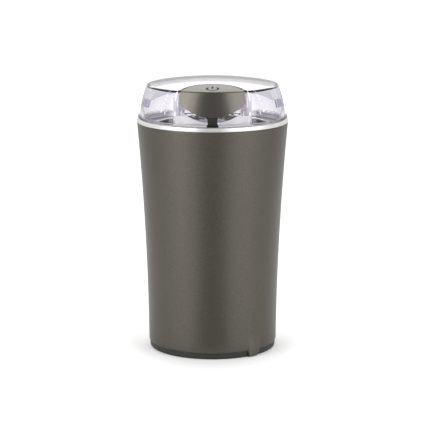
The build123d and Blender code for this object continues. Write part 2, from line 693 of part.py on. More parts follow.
def power_symbol():
    """Upright prism in the shape of the common on/off sign."""
    sector = Pos(0, -SYMBOL_YP, EDGE_Z - 4) * Cylinder(
        SYMBOL_R, 20, align=ABOVE)
    sector -= Pos(0, -SYMBOL_YP, EDGE_Z - 5) * Cylinder(
        SYMBOL_R - SYMBOL_LINE, 22, align=ABOVE)
    half = SYMBOL_R * math.sin(math.radians(SYMBOL_OPEN / 2))
    sector -= bar(-half, half, -SYMBOL_YP, -SYMBOL_YP + SYMBOL_R + 1, EDGE_Z - 5, APEX_Z + 9)
    stroke = bar(-SYMBOL_LINE / 2, SYMBOL_LINE / 2, -SYMBOL_YP + 0.4,
                 -SYMBOL_YP + SYMBOL_R + 0.8, EDGE_Z - 4, APEX_Z + 8)
    return sector + stroke


def button_cap():
    """Painted cap whose top and front carry on the lid's surfaces."""
    hollow = button_column(BUTTON_R - BUTTON_WALL, WALL_Z - 1, APEX_Z)
    hollow &= lid_form(BUTTON_TOP_WALL)
    cap = button_form(0) - hollow
    skin = lid_form(0) - lid_form(SYMBOL_DEPTH, FLANGE_Z - 2)
    return cap - (power_symbol() & skin)


def spring_spots():
    """Centres of the button's two springs."""
    return [(side * BUTTON_SPRING_X, -BUTTON_SPRING_YP) for side in (-1, 1)]


def button_carrier():
    """Black plate inside the cap, with the stem and the spring posts."""
    inside_r = BUTTON_R - BUTTON_WALL - SEAT
    plate = button_column(inside_r, PLATE_Z, PLATE_Z + CARRIER_PLATE)
    plate &= lid_form(BUTTON_TOP_WALL + SEAT)
    stem = bar(-STEM_WIDTH / 2, STEM_WIDTH / 2, -STEM_YP - STEM_DEPTH / 2,
               -STEM_YP + STEM_DEPTH / 2, STEM_FOOT_Z, PLATE_Z + 0.5)
    stem = chamfer(stem.edges().filter_by(Axis.Y).group_by(Axis.Z)[0], 1.0)
    carrier = plate + stem
    rib_top = PLATE_Z + CARRIER_PLATE + 2.4
    rib = bar(-1, 1, -STEM_YP - 1.5, -STEM_YP + 13, PLATE_Z, rib_top)
    carrier += rib & lid_form(BUTTON_TOP_WALL + SEAT)
    for x, y in spring_spots():
        carrier += rod(BUTTON_SPRING_R - SPRING_WIRE - 0.3, PLATE_Z - 3, PLATE_Z + 0.5, x, y)
    return carrier


def button_springs():
    """The two springs under the button."""
    return group([coil_spring(BUTTON_SPRING_R, SPRING_WIRE, POCKET_FLOOR_Z + SEAT,
                              PLATE_Z - SEAT, BUTTON_SPRING_TURNS, x, y)
                  for x, y in spring_spots()])


# ---------------------------------------------------------- switch plunger
def switch_plunger():
    """Rod from under the lid down to the switch lever."""
    head = bar(-PAD_TOP_WIDTH / 2, PAD_TOP_WIDTH / 2, -STEM_YP - PAD_TOP_DEPTH / 2,
               -STEM_YP + PAD_TOP_DEPTH / 2, PLUNGER_TOP_Z - PAD_TOP_LENGTH, PLUNGER_TOP_Z)
    shank = rod(ROD_R, FOOT_Z, PLUNGER_TOP_Z - 1, 0, -STEM_YP)
    collar_z = GUIDE_Z + GUIDE_THICK + PLUNGER_SPRING_LENGTH
    collar = rod(COLLAR_R, collar_z, collar_z + COLLAR_THICK, 0, -STEM_YP)
    foot = bar(-FOOT_WIDTH / 2, FOOT_WIDTH / 2, -STEM_YP - ROD_R,
               -LEVER_YP + FOOT_LAP, FOOT_Z, FOOT_Z + FOOT_THICK)
    foot = chamfer(foot.edges().filter_by(Axis.X).group_by(Axis.Z)[0], 0.5)
    return head + shank + collar + foot


def plunger_spring():
    """Return spring between the guide shelf and the plunger's collar."""
    low = GUIDE_Z + GUIDE_THICK + SEAT
    high = low + PLUNGER_SPRING_LENGTH - 2 * SEAT
    return coil_spring(PLUNGER_SPRING_R - SPRING_WIRE / 2, SPRING_WIRE / 2, low, high,
                       PLUNGER_SPRING_TURNS, 0, -STEM_YP)


# ------------------------------------------------------------------ switch
def switch_screw_spots():
    """Places of the two screws through the switch, as x and z."""
    return [(CASE_LEFT_X + 2.8, CASE_TOP_Z - CASE_HEIGHT + 2.6),
            (CASE_LEFT_X + CASE_LENGTH - 2.8, CASE_TOP_Z - CASE_HEIGHT + 2.6)]


def switch_bar(x0, x1, z0, z1):
    """A box as thick as the switch, within its length and height."""
    return bar(x0, x1, -CASE_BACK_YP - CASE_THICK, -CASE_BACK_YP, z0, z1)


def switch_case():
    """Body of the micro switch with its pin hole and lever ears."""
    case = switch_bar(CASE_LEFT_X, CASE_LEFT_X + CASE_LENGTH,
                      CASE_TOP_Z - CASE_HEIGHT, CASE_TOP_Z)
    case = fillet(case.edges().filter_by(Axis.Y), 0.6)
    for x, z in switch_screw_spots():
        case -= rod_along_y(SWITCH_SCREW_R + SEAT, -RIM_R, 0, x, z)
    pin_x = CASE_LEFT_X + PIN_INSET
    case -= rod(PIN_R + SLIP, CASE_TOP_Z - PIN_DEPTH, CASE_TOP_Z + 1, pin_x, -LEVER_YP)
    ears = switch_bar(PIVOT_X - 1.2, PIVOT_X + 1.2, CASE_TOP_Z - 0.5, PIVOT_Z + 1.2)
    half = LEVER_WIDTH / 2 + SLIP
    ears -= bar(PIVOT_X - 2, PIVOT_X + 2, -LEVER_YP - half, -LEVER_YP + half,
                CASE_TOP_Z, PIVOT_Z + 2)
    case += ears
    return case - rod_along_y(0.5 + SLIP, -RIM_R, 0, PIVOT_X, PIVOT_Z)


def switch_pin():
    """The switch's own pin, under the lever."""
    pin_x = CASE_LEFT_X + PIN_INSET
    reach = (pin_x - PIVOT_X) * LEVER_SLOPE
    top = PIVOT_Z + reach - SLIP - 0.2
    pin = rod(PIN_R, CASE_TOP_Z - PIN_DEPTH + 1.6, top, pin_x, -LEVER_YP)
    return chamfer(pin.edges().group_by(Axis.Z)[-1], 0.3)


def switch_lever():
    """Spring-steel lever that turns about a cross pin at its left end."""
    length = (LEVER_ARM + LEVER_OVERHANG) / math.cos(math.radians(LEVER_ANGLE))
    strip = bar(0.3, length, -LEVER_YP - LEVER_WIDTH / 2, -LEVER_YP + LEVER_WIDTH / 2,
                0, LEVER_THICK)
    strip = Pos(PIVOT_X, 0, PIVOT_Z) * Rot(0, -LEVER_ANGLE, 0) * strip
    eye = rod_along_y(0.9, -LEVER_YP - LEVER_WIDTH / 2, -LEVER_YP + LEVER_WIDTH / 2,
                      PIVOT_X, PIVOT_Z)
    cross = rod_along_y(0.5, -LEVER_YP - CASE_THICK / 2, -LEVER_YP + CASE_THICK / 2,
                        PIVOT_X, PIVOT_Z)
    return strip + eye + cross


def switch_bracket():
    """Angle that hangs the switch from the carrier's floor."""
    left = CASE_LEFT_X - 1.0
    right = CASE_LEFT_X + CASE_LENGTH + 1.0
    front = -CASE_BACK_YP + SEAT
    back = front + SWITCH_PLATE
    low = CASE_TOP_Z - CASE_HEIGHT - 0.8
    leaf = bar(left, right, front, back, low, CARRIER_UNDER_Z - SEAT)
    flange = bar(left, right, front, back + SWITCH_FLANGE, CARRIER_UNDER_Z - SEAT - SWITCH_PLATE,
                 CARRIER_UNDER_Z - SEAT)
    bracket = leaf + flange
    for x, z in switch_screw_spots():
        bracket -= rod_along_y(SWITCH_SCREW_R + SEAT, -RIM_R, 0, x, z)
    return bracket


def switch_screws():
    """Screws that hold the switch to its bracket, with nuts behind."""
    front = -CASE_BACK_YP - CASE_THICK - SEAT
    back = -CASE_BACK_YP + 2 * SEAT + SWITCH_PLATE
    shapes = []
    for x, z in switch_screw_spots():
        head = rod_along_y(SWITCH_SCREW_R + 1.0, front - 1.2, front, x, z)
        head -= bar(x - 3, x + 3, front - 1.3, front - 0.7, z - 0.3, z + 0.3)
        shank = rod_along_y(SWITCH_SCREW_R, front - 0.2, back + 0.6, x, z)
        nut = rod_along_y(SWITCH_SCREW_R + 0.9, back, back + 1.0, x, z)
        shapes.append(head + shank + nut)
    return group(shapes)


def tab_places():
    """Middles of the switch's contact tabs along X."""
    pitch = CASE_LENGTH / CONTACT_TABS
    return [CASE_LEFT_X + pitch * (i + 0.5) for i in range(CONTACT_TABS)]


def contact_tabs():
    """Brass tabs under the switch."""
    top = CASE_TOP_Z - CASE_HEIGHT - SEAT
    tabs = []
    for x in tab_places():
        tab = bar(x - 1.6, x + 1.6, -LEVER_YP - 0.4, -LEVER_YP + 0.4, top - TAB_LENGTH, top)
        tab -= rod_along_y(0.6, -RIM_R, 0, x, top - TAB_LENGTH + 4.2)
        tabs.append(tab)
    return group(tabs)


# ------------------------------------------------------------------- motor
def stack_outline(low, high):
    """Rounded block of the stator's outer size."""
    block = bar(-STACK_X / 2, STACK_X / 2, -STACK_Y / 2, STACK_Y / 2, low, high)
    return fillet(block.edges().filter_by(Axis.Z), STACK_CORNER)


def bolt_spots():
    """Centres of the motor's long bolts."""
    return [(sx * BOLT_X, sy * BOLT_Y) for sx, sy in CORNER_POINTS]


def stator_core():
    """Laminated stator with two poles along X."""
    bore = BORE_R
    core = stack_outline(STACK_Z, STACK_TOP_Z)
    core -= bar(-WINDOW_X, WINDOW_X, -WINDOW_Y, WINDOW_Y, STACK_Z - 1, STACK_TOP_Z + 1)
    for side in (-1, 1):
        far = side * (WINDOW_X + 1)
        near = side * (bore - 2)
        core += bar(min(far, near), max(far, near), -POLE_WIDTH / 2, POLE_WIDTH / 2,
                    STACK_Z, STACK_TOP_Z)
    shoes = tube(bore + SHOE_THICK, bore, STACK_Z, STACK_TOP_Z)
    shoes &= bar(-RIM_R, RIM_R, -SHOE_WIDTH / 2, SHOE_WIDTH / 2, STACK_Z, STACK_TOP_Z)
    core += shoes
    core -= rod(bore, STACK_Z - 1, STACK_TOP_Z + 1)
    for x, y in bolt_spots():
        core -= rod(BOLT_R + SEAT, STACK_Z - 1, STACK_TOP_Z + 1, x, y)
    return core


def field_coils():
    """Two wound coils, one round each pole."""
    inner_y = POLE_WIDTH / 2 + COIL_GAP
    outer_x = WINDOW_X - COIL_GAP
    low = STACK_Z - COIL_GAP - COIL_BUILD
    high = STACK_TOP_Z + COIL_GAP + COIL_BUILD
    coil = bar(outer_x - COIL_THICK, outer_x, -inner_y - COIL_BUILD, inner_y + COIL_BUILD,
               low, high)
    coil = fillet(coil.edges().filter_by(Axis.X), COIL_BUILD - 1)
    coil -= bar(0, STACK_X, -inner_y, inner_y, STACK_Z - COIL_GAP, STACK_TOP_Z + COIL_GAP)
    coil = fillet(coil.faces().filter_by(Axis.X)[0].outer_wire().edges(), 1.2)
    return group([coil, Rot(0, 0, 180) * coil])


def bracket(low, high, hole_r):
    """Flat motor bracket with holes for the bolts."""
    plate = stack_outline(low, high)
    plate -= rod(hole_r, low - 1, high + 1)
    for x, y in bolt_spots():
        plate -= rod(BOLT_R + SEAT, low - 1, high + 1, x, y)
    return plate


def upper_bracket():
    """Bracket under the carrier, with the upper bearing's cup."""
    plate = bracket(UPPER_PLATE_Z, UPPER_PLATE_TOP_Z, BEARING_R + SEAT)
    plate += tube(BEARING_R + CUP_WALL, BEARING_R + SEAT, UPPER_PLATE_Z,
                  UPPER_PLATE_Z + BEARING_LENGTH)
    for x, y in mount_spots():
        plate -= rod(BOLT_R + SEAT, UPPER_PLATE_Z - 1, UPPER_PLATE_TOP_Z + 1, x, y)
    return plate


def lower_bracket():
    """Bracket at the brush end, with the lower bearing's cup."""
    plate = bracket(LOWER_PLATE_Z, LOWER_PLATE_TOP_Z, BEARING_R + SEAT)
    plate += tube(BEARING_R + CUP_WALL, BEARING_R + SEAT, LOWER_CUP_Z, LOWER_PLATE_TOP_Z)
    cup_floor = tube(BEARING_R + CUP_WALL, SHAFT_R + 1.2, LOWER_CUP_Z,
                     LOWER_CUP_Z + CUP_FLOOR)
    return plate + cup_floor


def bearing(low):
    """Plain bronze bearing."""
    ring = tube(BEARING_R, SHAFT_R + SLIP, low, low + BEARING_LENGTH)
    outside = [e for e in ring.edges().filter_by(GeomType.CIRCLE)
               if e.radius > BEARING_R - 0.01]
    return chamfer(outside, 0.5)


def upper_bearing():
    """Bearing at the blade end."""
    return bearing(UPPER_PLATE_Z)


def lower_bearing():
    """Bearing at the brush end."""
    return bearing(LOWER_PLATE_TOP_Z - BEARING_LENGTH)


def motor_bolts():
    """Long bolts through both brackets and the stator."""
    low = LOWER_PLATE_Z - SEAT
    length = UPPER_PLATE_TOP_Z - low + 1.0
    shapes = []
    for x, y in bolt_spots():
        head = rod(BOLT_HEAD_R, low - BOLT_HEAD, low, x, y)
        shapes.append(head + rod(BOLT_R, low - 0.5, low + length, x, y))
    return group(shapes)


def bracket_spacers():
    """Tubes on the bolts between the stator and the brackets."""
    spans = [(LOWER_PLATE_TOP_Z, STACK_Z), (STACK_TOP_Z, UPPER_PLATE_Z)]
    return group([tube(SPACER_R, BOLT_R + SEAT, low, high, x, y)
                  for low, high in spans for x, y in bolt_spots()])


def mount_bushes():
    """Rubber mounts between the motor and the carrier."""
    shapes = []
    for x, y in mount_spots():
        bush = tube(BUSH_R, BOLT_R + SEAT, UPPER_PLATE_TOP_Z, CARRIER_UNDER_Z, x, y)
        waist_z = (UPPER_PLATE_TOP_Z + CARRIER_UNDER_Z) / 2
        groove = tube(BUSH_R + 1, BUSH_R - 0.8, waist_z - 0.5, waist_z + 0.5, x, y)
        shapes.append(bush - groove)
    return group(shapes)


def mount_screws():
    """Screws through the mounts into the carrier's floor."""
    head_z = UPPER_PLATE_Z - SEAT
    length = CARRIER_FLOOR_Z - 0.4 - head_z
    shapes = []
    for x, y in mount_spots():
        head = rod(BOLT_HEAD_R, head_z - BOLT_HEAD, head_z, x, y)
        head -= bar(x - 4, x + 4, y - 0.4, y + 0.4, head_z - BOLT_HEAD, head_z - 0.9)
        shapes.append(head + rod(BOLT_R - SEAT, head_z - 0.5, head_z + length, x, y))
    return group(shapes)


def brush_z():
    """Height of the brushes, at the middle of the commutator."""
    return (COMMUTATOR_Z + COMMUTATOR_TOP_Z) / 2


def brush_box(y0, y1, grow):
    """A box along Y of the brush's section, grown by a wall."""
    half_x = BRUSH_WIDTH / 2 + grow
    half_z = BRUSH_HEIGHT / 2 + grow
    return bar(-half_x, half_x, y0, y1, brush_z() - half_z, brush_z() + half_z)


def brush_holders():
    """Two brass boxes on insulating blocks."""
    start = COMMUTATOR_R + 1.4
    end = start + HOLDER_LENGTH - 1.4
    box = brush_box(start, end, HOLDER_WALL) - brush_box(start - 1, end - HOLDER_WALL, SEAT)
    block = bar(-BRUSH_WIDTH / 2 - HOLDER_WALL, BRUSH_WIDTH / 2 + HOLDER_WALL,
                start, end, LOWER_PLATE_TOP_Z, brush_z() - BRUSH_HEIGHT / 2 - HOLDER_WALL + 0.2)
    holder = box + block
    return group([holder, Rot(0, 0, 180) * holder])


def carbon_brushes():
    """Two carbon brushes with faces hollowed to the commutator."""
    end = COMMUTATOR_R + BRUSH_LENGTH
    brush = brush_box(COMMUTATOR_R - 2, end, 0)
    brush -= rod(COMMUTATOR_R + SLIP, 0, CARRIER_UNDER_Z)
    return group([brush, Rot(0, 0, 180) * brush])


def brush_springs():
    """Springs that press the brushes on the commutator."""
    start = COMMUTATOR_R + BRUSH_LENGTH + 0.1
    end = COMMUTATOR_R + HOLDER_LENGTH - HOLDER_WALL - 0.1
    coil = coil_spring(BRUSH_SPRING_R, BRUSH_SPRING_WIRE, 0, end - start,
                       BRUSH_SPRING_TURNS, 0, 0)
    spring = Pos(0, start, brush_z()) * Rot(-90, 0, 0) * coil
    return group([spring, Rot(0, 0, 180) * spring])


# ------------------------------------------------------------------- rotor
def motor_shaft():
    """Stepped shaft from the lower bearing to the blade."""
    low = LOWER_PLATE_TOP_Z - BEARING_LENGTH + 0.3
    shaft = rod(SHAFT_R, low, SHAFT_TOP_Z - 0.4)
    shaft = chamfer(shaft.edges().group_by(Axis.Z)[0], 0.4)
    lower = LOWER_PLATE_TOP_Z + GAP + WASHER_THICK
    upper = UPPER_PLATE_Z - GAP - WASHER_THICK
    shaft += rod(COLLAR_SHAFT_R, lower, COMMUTATOR_Z)
    return shaft + rod(COLLAR_SHAFT_R, FAN_TOP_Z, upper)


def thrust_washers():
    """Washers between the shaft's collars and the bearings."""
    lower = LOWER_PLATE_TOP_Z + GAP
    upper = UPPER_PLATE_Z - GAP - WASHER_THICK
    return group([tube(COLLAR_SHAFT_R + 0.6, SHAFT_R, z, z + WASHER_THICK)
                  for z in (lower, upper)])


def armature_core():
    """Laminated armature with slots for the windings."""
    core = tube(ARMATURE_R, SHAFT_R, STACK_Z, STACK_TOP_Z)
    mouth = bar(ARMATURE_R - 3.2, ARMATURE_R + 1, -0.8, 0.8, STACK_Z - 1, STACK_TOP_Z + 1)
    pocket = rod(2.1, STACK_Z - 1, STACK_TOP_Z + 1, ARMATURE_R - 4.4)
    for slot in ring_of(mouth + pocket, SLOT_COUNT):
        core -= slot
    return core


def armature_windings():
    """Wound ends above and below the armature, joined through the slots."""
    ends = []
    for low in (STACK_Z - END_TURN_LENGTH, STACK_TOP_Z):
        ends.append(tube(END_TURN_R, SHAFT_R + 1.5, low, low + END_TURN_LENGTH))
    ends[0] = fillet(ends[0].edges().filter_by(GeomType.CIRCLE).group_by(Axis.Z)[0], 1.5)
    ends[1] = fillet(ends[1].edges().filter_by(GeomType.CIRCLE).group_by(Axis.Z)[-1], 1.5)
    windings = ends[0] + ends[1]
    strand = rod(1.9, STACK_Z - 1, STACK_TOP_Z + 1, ARMATURE_R - 4.4)
    for turn in ring_of(strand, SLOT_COUNT):
        windings += turn
    return windings


def commutator():
    """Segmented copper commutator with its riser."""
    body = tube(COMMUTATOR_R, SHAFT_R, COMMUTATOR_Z, COMMUTATOR_TOP_Z)
    body += tube(COMMUTATOR_R + 1.2, SHAFT_R, COMMUTATOR_TOP_Z - 1, STACK_Z - END_TURN_LENGTH)
    cut = bar(COMMUTATOR_R - 0.7, COMMUTATOR_R + 2, -0.2, 0.2,
              COMMUTATOR_Z - 1, COMMUTATOR_TOP_Z + 2)
    for groove in ring_of(cut, SEGMENT_COUNT):
        body -= groove
    return body


def cooling_fan():
    """Radial fan on the shaft above the stator."""
    fan = tube(FAN_R, SHAFT_R, FAN_Z, FAN_Z + FAN_PLATE)
    fan += tube(FAN_HUB_R, SHAFT_R, FAN_Z, FAN_TOP_Z)
    vane = bar(FAN_HUB_R - 0.5, FAN_R - 0.5, -0.6, 0.6, FAN_Z + 0.5, FAN_TOP_Z)
    for part in ring_of(vane, FAN_BLADES):
        fan += part
    return fan


def blade_spacer():
    """Sleeve that carries the blade above the seal."""
    return tube(BLADE_SPACER_R, SHAFT_R, BLADE_Z - BLADE_SPACER, BLADE_Z)


def blade():
    """Two-armed steel blade with raised tips."""
    flat = BLADE_R - BLADE_TIP
    outline = bar(-flat, flat, -BLADE_WIDTH / 2, BLADE_WIDTH / 2, 0, BLADE_THICK)
    tip = bar(0, BLADE_TIP, -BLADE_WIDTH / 2, BLADE_WIDTH / 2, 0, BLADE_THICK)
    tip = chamfer(tip.edges().filter_by(Axis.Z).group_by(Axis.X)[-1].sort_by(Axis.Y)[0],
                  BLADE_TIP - 1.5, BLADE_WIDTH / 2)
    hinge = rod_along_y(BLADE_THICK / 2, -BLADE_WIDTH / 2, BLADE_WIDTH / 2, 0,
                        BLADE_THICK / 2)
    raised = Pos(flat, 0, 0) * (hinge + Pos(0, 0, BLADE_THICK / 2) * Rot(
        0, -BLADE_TIP_ANGLE, 0) * Pos(0, 0, -BLADE_THICK / 2) * tip)
    body = outline + raised + Rot(0, 0, 180) * raised
    body += rod(BLADE_SPACER_R, 0, BLADE_THICK)
    body = Pos(0, 0, BLADE_Z) * body
    return body - rod(SHAFT_R, BLADE_Z - 1, BLADE_Z + 20)


def blade_nut():
    """Domed nut on the end of the shaft."""
    top = SHAFT_TOP_Z + 1.2
    nut = hexagon(BLADE_NUT_ACROSS, BLADE_Z + BLADE_THICK, top)
    cone = Pos(0, 0, top - 2.0) * Cone(BLADE_NUT_ACROSS / 2 + 1.6, 2.6, 2.0, align=ABOVE)
    nut &= cone + rod(BLADE_NUT_ACROSS, BLADE_Z, top - 1.9)
    return nut - rod(SHAFT_R, BLADE_Z, SHAFT_TOP_Z - 0.4)


# ------------------------------------------------------------------ wiring
def terminal_block():
    """Two-way screw terminal on the base."""
    low = BASE_FLOOR_Z + SEAT
    high = low + BLOCK_Z
    y0 = -BLOCK_YP - BLOCK_Y / 2
    y1 = -BLOCK_YP + BLOCK_Y / 2
    block = bar(-BLOCK_X / 2, BLOCK_X / 2, y0, y1, low, high)
    for side in (-1, 1):
        x = side * BLOCK_PITCH / 2
        block -= rod(BLOCK_SCREW_R, high - BLOCK_SCREW_DEPTH, high + 1, x, -BLOCK_YP)
        block -= rod_along_y(WIRE_R + GAP, y0 - 1, y0 + 3.5, x, wire_z())
        block -= rod_along_y(WIRE_R + GAP, y1 - 3.5, y1 + 1, x, wire_z())
    waist = bar(-BLOCK_WAIST / 2, BLOCK_WAIST / 2, y0 - 1, y1 + 1,
                high - BLOCK_WAIST_DEPTH, high + 1)
    return block - waist


def terminal_screws():
    """Clamping screws in the terminal block."""
    high = BASE_FLOOR_Z + SEAT + BLOCK_Z
    shapes = []
    for side in (-1, 1):
        x = side * BLOCK_PITCH / 2
        body = rod(BLOCK_SCREW_R - SEAT, high - BLOCK_SCREW_DEPTH, high - 0.4, x, -BLOCK_YP)
        shapes.append(body - bar(x - BLOCK_SCREW_R, x + BLOCK_SCREW_R, -BLOCK_YP - 0.3,
                                 -BLOCK_YP + 0.3, high - 1.1, high))
    return group(shapes)


def wire_z():
    """Height of the wires at the terminal block."""
    return BASE_FLOOR_Z + BLOCK_WIRE_SHARE * BLOCK_Z


def wire(points):
    """A round wire on straight runs with the largest arcs that fit."""
    places = [Vector(*p) for p in points]
    radii = []
    for i in range(1, len(places) - 1):
        back = places[i - 1] - places[i]
        ahead = places[i + 1] - places[i]
        turn = math.radians(180 - back.get_angle(ahead))
        shorter = min(back.length, ahead.length)
        radii.append(0.45 * shorter / math.tan(turn / 2))
    path = FilletPolyline(*points, radius=radii)
    start = Plane(path @ 0, z_dir=path % 0)
    return sweep(start * Circle(WIRE_R), path=path)


def supply_wires():
    """Wires from the gland to the terminal block."""
    block_y = -BLOCK_YP + BLOCK_Y / 2 - 3
    gland_y = housing_r(GLAND_Z) - HOUSING_WALL - GLAND_IN + 2
    shapes = []
    for side in (-1, 1):
        shapes.append(wire([(side * 1.2, gland_y, GLAND_Z),
                            (side * 1.5, gland_y - 7, GLAND_Z - 0.4),
                            (side * 4.6, block_y + 8, wire_z() + 0.5),
                            (side * BLOCK_PITCH / 2, block_y, wire_z())]))
    return group(shapes)


def tab_end(index):
    """Lower end of one of the switch's tabs."""
    return (tab_places()[index], -LEVER_YP, CASE_TOP_Z - CASE_HEIGHT - TAB_LENGTH - 5 * SEAT)


def switch_wire():
    """Live wire from the terminal block up to the switch."""
    x = -BLOCK_PITCH / 2
    y = -BLOCK_YP - BLOCK_Y / 2 + 3
    end = tab_end(0)
    return wire([(x, y, wire_z()), (x - 1, y - 9, wire_z() + 0.4),
                 (x - 3, y - 22, wire_z() + 2), (x - 5.5, end[1] + 2, wire_z() + 12),
                 (end[0] + 0.5, end[1] - 0.4, wire_z() + 30), (end[0], end[1], end[2] - 9),
                 end])


def motor_wire():
    """Wire from the switch to the end of a field coil."""
    start = tab_end(2)
    coil_x = WINDOW_X - COIL_GAP - COIL_THICK / 2
    coil_y = -POLE_WIDTH / 2 - COIL_GAP - COIL_BUILD / 2
    coil_z = STACK_Z - COIL_GAP - COIL_BUILD
    return wire([start, (start[0] + 0.5, start[1], start[2] - 8),
                 (start[0] + 3.5, start[1] + 0.6, start[2] - 20),
                 (coil_x - 12, -28.5, coil_z - 0.5), (coil_x - 4, -24.5, coil_z - 8.5),
                 (coil_x, coil_y - 2.2, coil_z - 6.5), (coil_x, coil_y, coil_z - SEAT)])


def thermal_fuse():
    """Thermal cut-out beside the stator."""
    x = STACK_X / 2 + FUSE_R + GAP / 2
    low = STACK_Z + 4
    body = rod(FUSE_R, low, low + FUSE_LENGTH, x, 0)
    return chamfer(body.edges(), 0.5)


def fuse_wire():
    """Neutral wire from the terminal block to the thermal cut-out."""
    x = STACK_X / 2 + FUSE_R + GAP / 2
    y = -BLOCK_YP - BLOCK_Y / 2 + 3
    start_x = BLOCK_PITCH / 2
    return wire([(start_x, y, wire_z()), (start_x + 1, y - 9, wire_z() + 0.4),
                 (start_x + 9, y - 18, wire_z() + 1.5), (x - 6, y - 18.5, wire_z() + 5),
                 (x, y - 12, wire_z() + 13), (x + 0.3, -2, STACK_Z - 10),
                 (x, 0, STACK_Z + 4 - SEAT)])


def suppression_capacitor():
    """Potted capacitor against the back of the stator."""
    y0 = STACK_Y / 2 + SEAT
    low = STACK_Z + 3
    body = bar(-CAP_X / 2, CAP_X / 2, y0, y0 + CAP_Y, low, low + CAP_Z)
    return fillet(body.edges().filter_by(Axis.Z), 0.8)


# ------------------------------------------------------------------ the nodes
NODES = [housing_shell, trim_ring, base_plate, rubber_feet, base_screws, cord_gland,
         bowl_carrier, grinding_bowl, bowl_gasket, bowl_nut, shaft_seal,
         stator_core, field_coils, upper_bracket, lower_bracket, upper_bearing,
         lower_bearing, motor_bolts, bracket_spacers, mount_bushes, mount_screws,
         brush_holders, carbon_brushes, brush_springs,
         motor_shaft, thrust_washers, armature_core, armature_windings, commutator,
         cooling_fan, blade_spacer, blade, blade_nut,
         lid_shell, button_springs, button_cap, button_carrier,
         switch_plunger, plunger_spring, switch_bracket, switch_case, switch_pin,
         switch_lever, switch_screws, contact_tabs,
         terminal_block, terminal_screws, supply_wires, switch_wire, motor_wire,
         thermal_fuse, fuse_wire, suppression_capacitor]


def main():
    """Builds every piece and writes each one to its own file."""
    os.makedirs("parts", exist_ok=True)
    for build in NODES:
        export_step(build(), f"parts/{build.__name__}.step")


main()
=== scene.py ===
"""Looks of an electric spice grinder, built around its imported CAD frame.

The scene is in metres, the sizes of the sub-assemblies are in millimetres, and
the front of the grinder faces -Y. Each sub-assembly is a class that builds its
own meshes and dresses the CAD nodes that it keeps.
"""

import logging
import math
from dataclasses import dataclass, replace
from enum import Enum
from typing import ClassVar

import bmesh
import bpy
from mathutils import Matrix, Vector

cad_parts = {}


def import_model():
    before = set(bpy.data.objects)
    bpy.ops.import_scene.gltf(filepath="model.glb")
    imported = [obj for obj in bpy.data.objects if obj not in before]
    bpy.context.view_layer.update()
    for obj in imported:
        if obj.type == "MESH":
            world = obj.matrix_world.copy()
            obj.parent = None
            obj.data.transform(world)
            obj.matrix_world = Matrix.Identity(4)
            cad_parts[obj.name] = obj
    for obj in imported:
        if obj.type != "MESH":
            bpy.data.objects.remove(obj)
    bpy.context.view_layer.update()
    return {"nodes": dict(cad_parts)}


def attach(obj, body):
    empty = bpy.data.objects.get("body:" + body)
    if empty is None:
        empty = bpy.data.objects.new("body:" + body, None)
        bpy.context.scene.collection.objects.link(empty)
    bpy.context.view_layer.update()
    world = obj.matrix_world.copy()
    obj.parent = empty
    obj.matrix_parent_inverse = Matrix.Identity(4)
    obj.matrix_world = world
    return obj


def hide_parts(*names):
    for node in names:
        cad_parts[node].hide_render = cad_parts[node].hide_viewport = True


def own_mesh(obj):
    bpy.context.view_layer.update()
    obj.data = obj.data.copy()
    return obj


LOG = logging.getLogger("grinder")
MM = 0.001
ROUND_STEPS = 192      # divisions of a plain turned piece
COLUMN_STEPS = 256     # of the button's column, its pocket and the bowl
SMOOTH_STEPS = 288     # of the lid and the forms that it is trimmed with
ARCH_STEPS = 360       # of the wide arches that cut the smile-shaped edges
FINE_DETAIL = 4.0      # octaves of a fine grain
CLOUD_DETAIL = 3.0     # of soft patches
SOFT_DETAIL = 2.0      # of slow waves
BEYOND = 120.0         # millimetres that are outside the grinder on any side
LID_CREASE = 30.0      # edges sharper than these degrees stay crisp: on lid and button,
SHEET_CREASE = 35.0    # on shell and bowl,
TRIM_CREASE = 40.0     # and on the small turned and swept pieces


class Work(Enum):
    """What a closed tool does to a piece."""

    CUT = "DIFFERENCE"
    JOIN = "UNION"
    KEEP = "INTERSECT"


class Body(Enum):
    """Moving bodies of the CAD frame that pieces ride on."""

    HOUSING = "housing"
    LID = "lid"
    BUTTON = "button"
    ROTOR = "rotor"


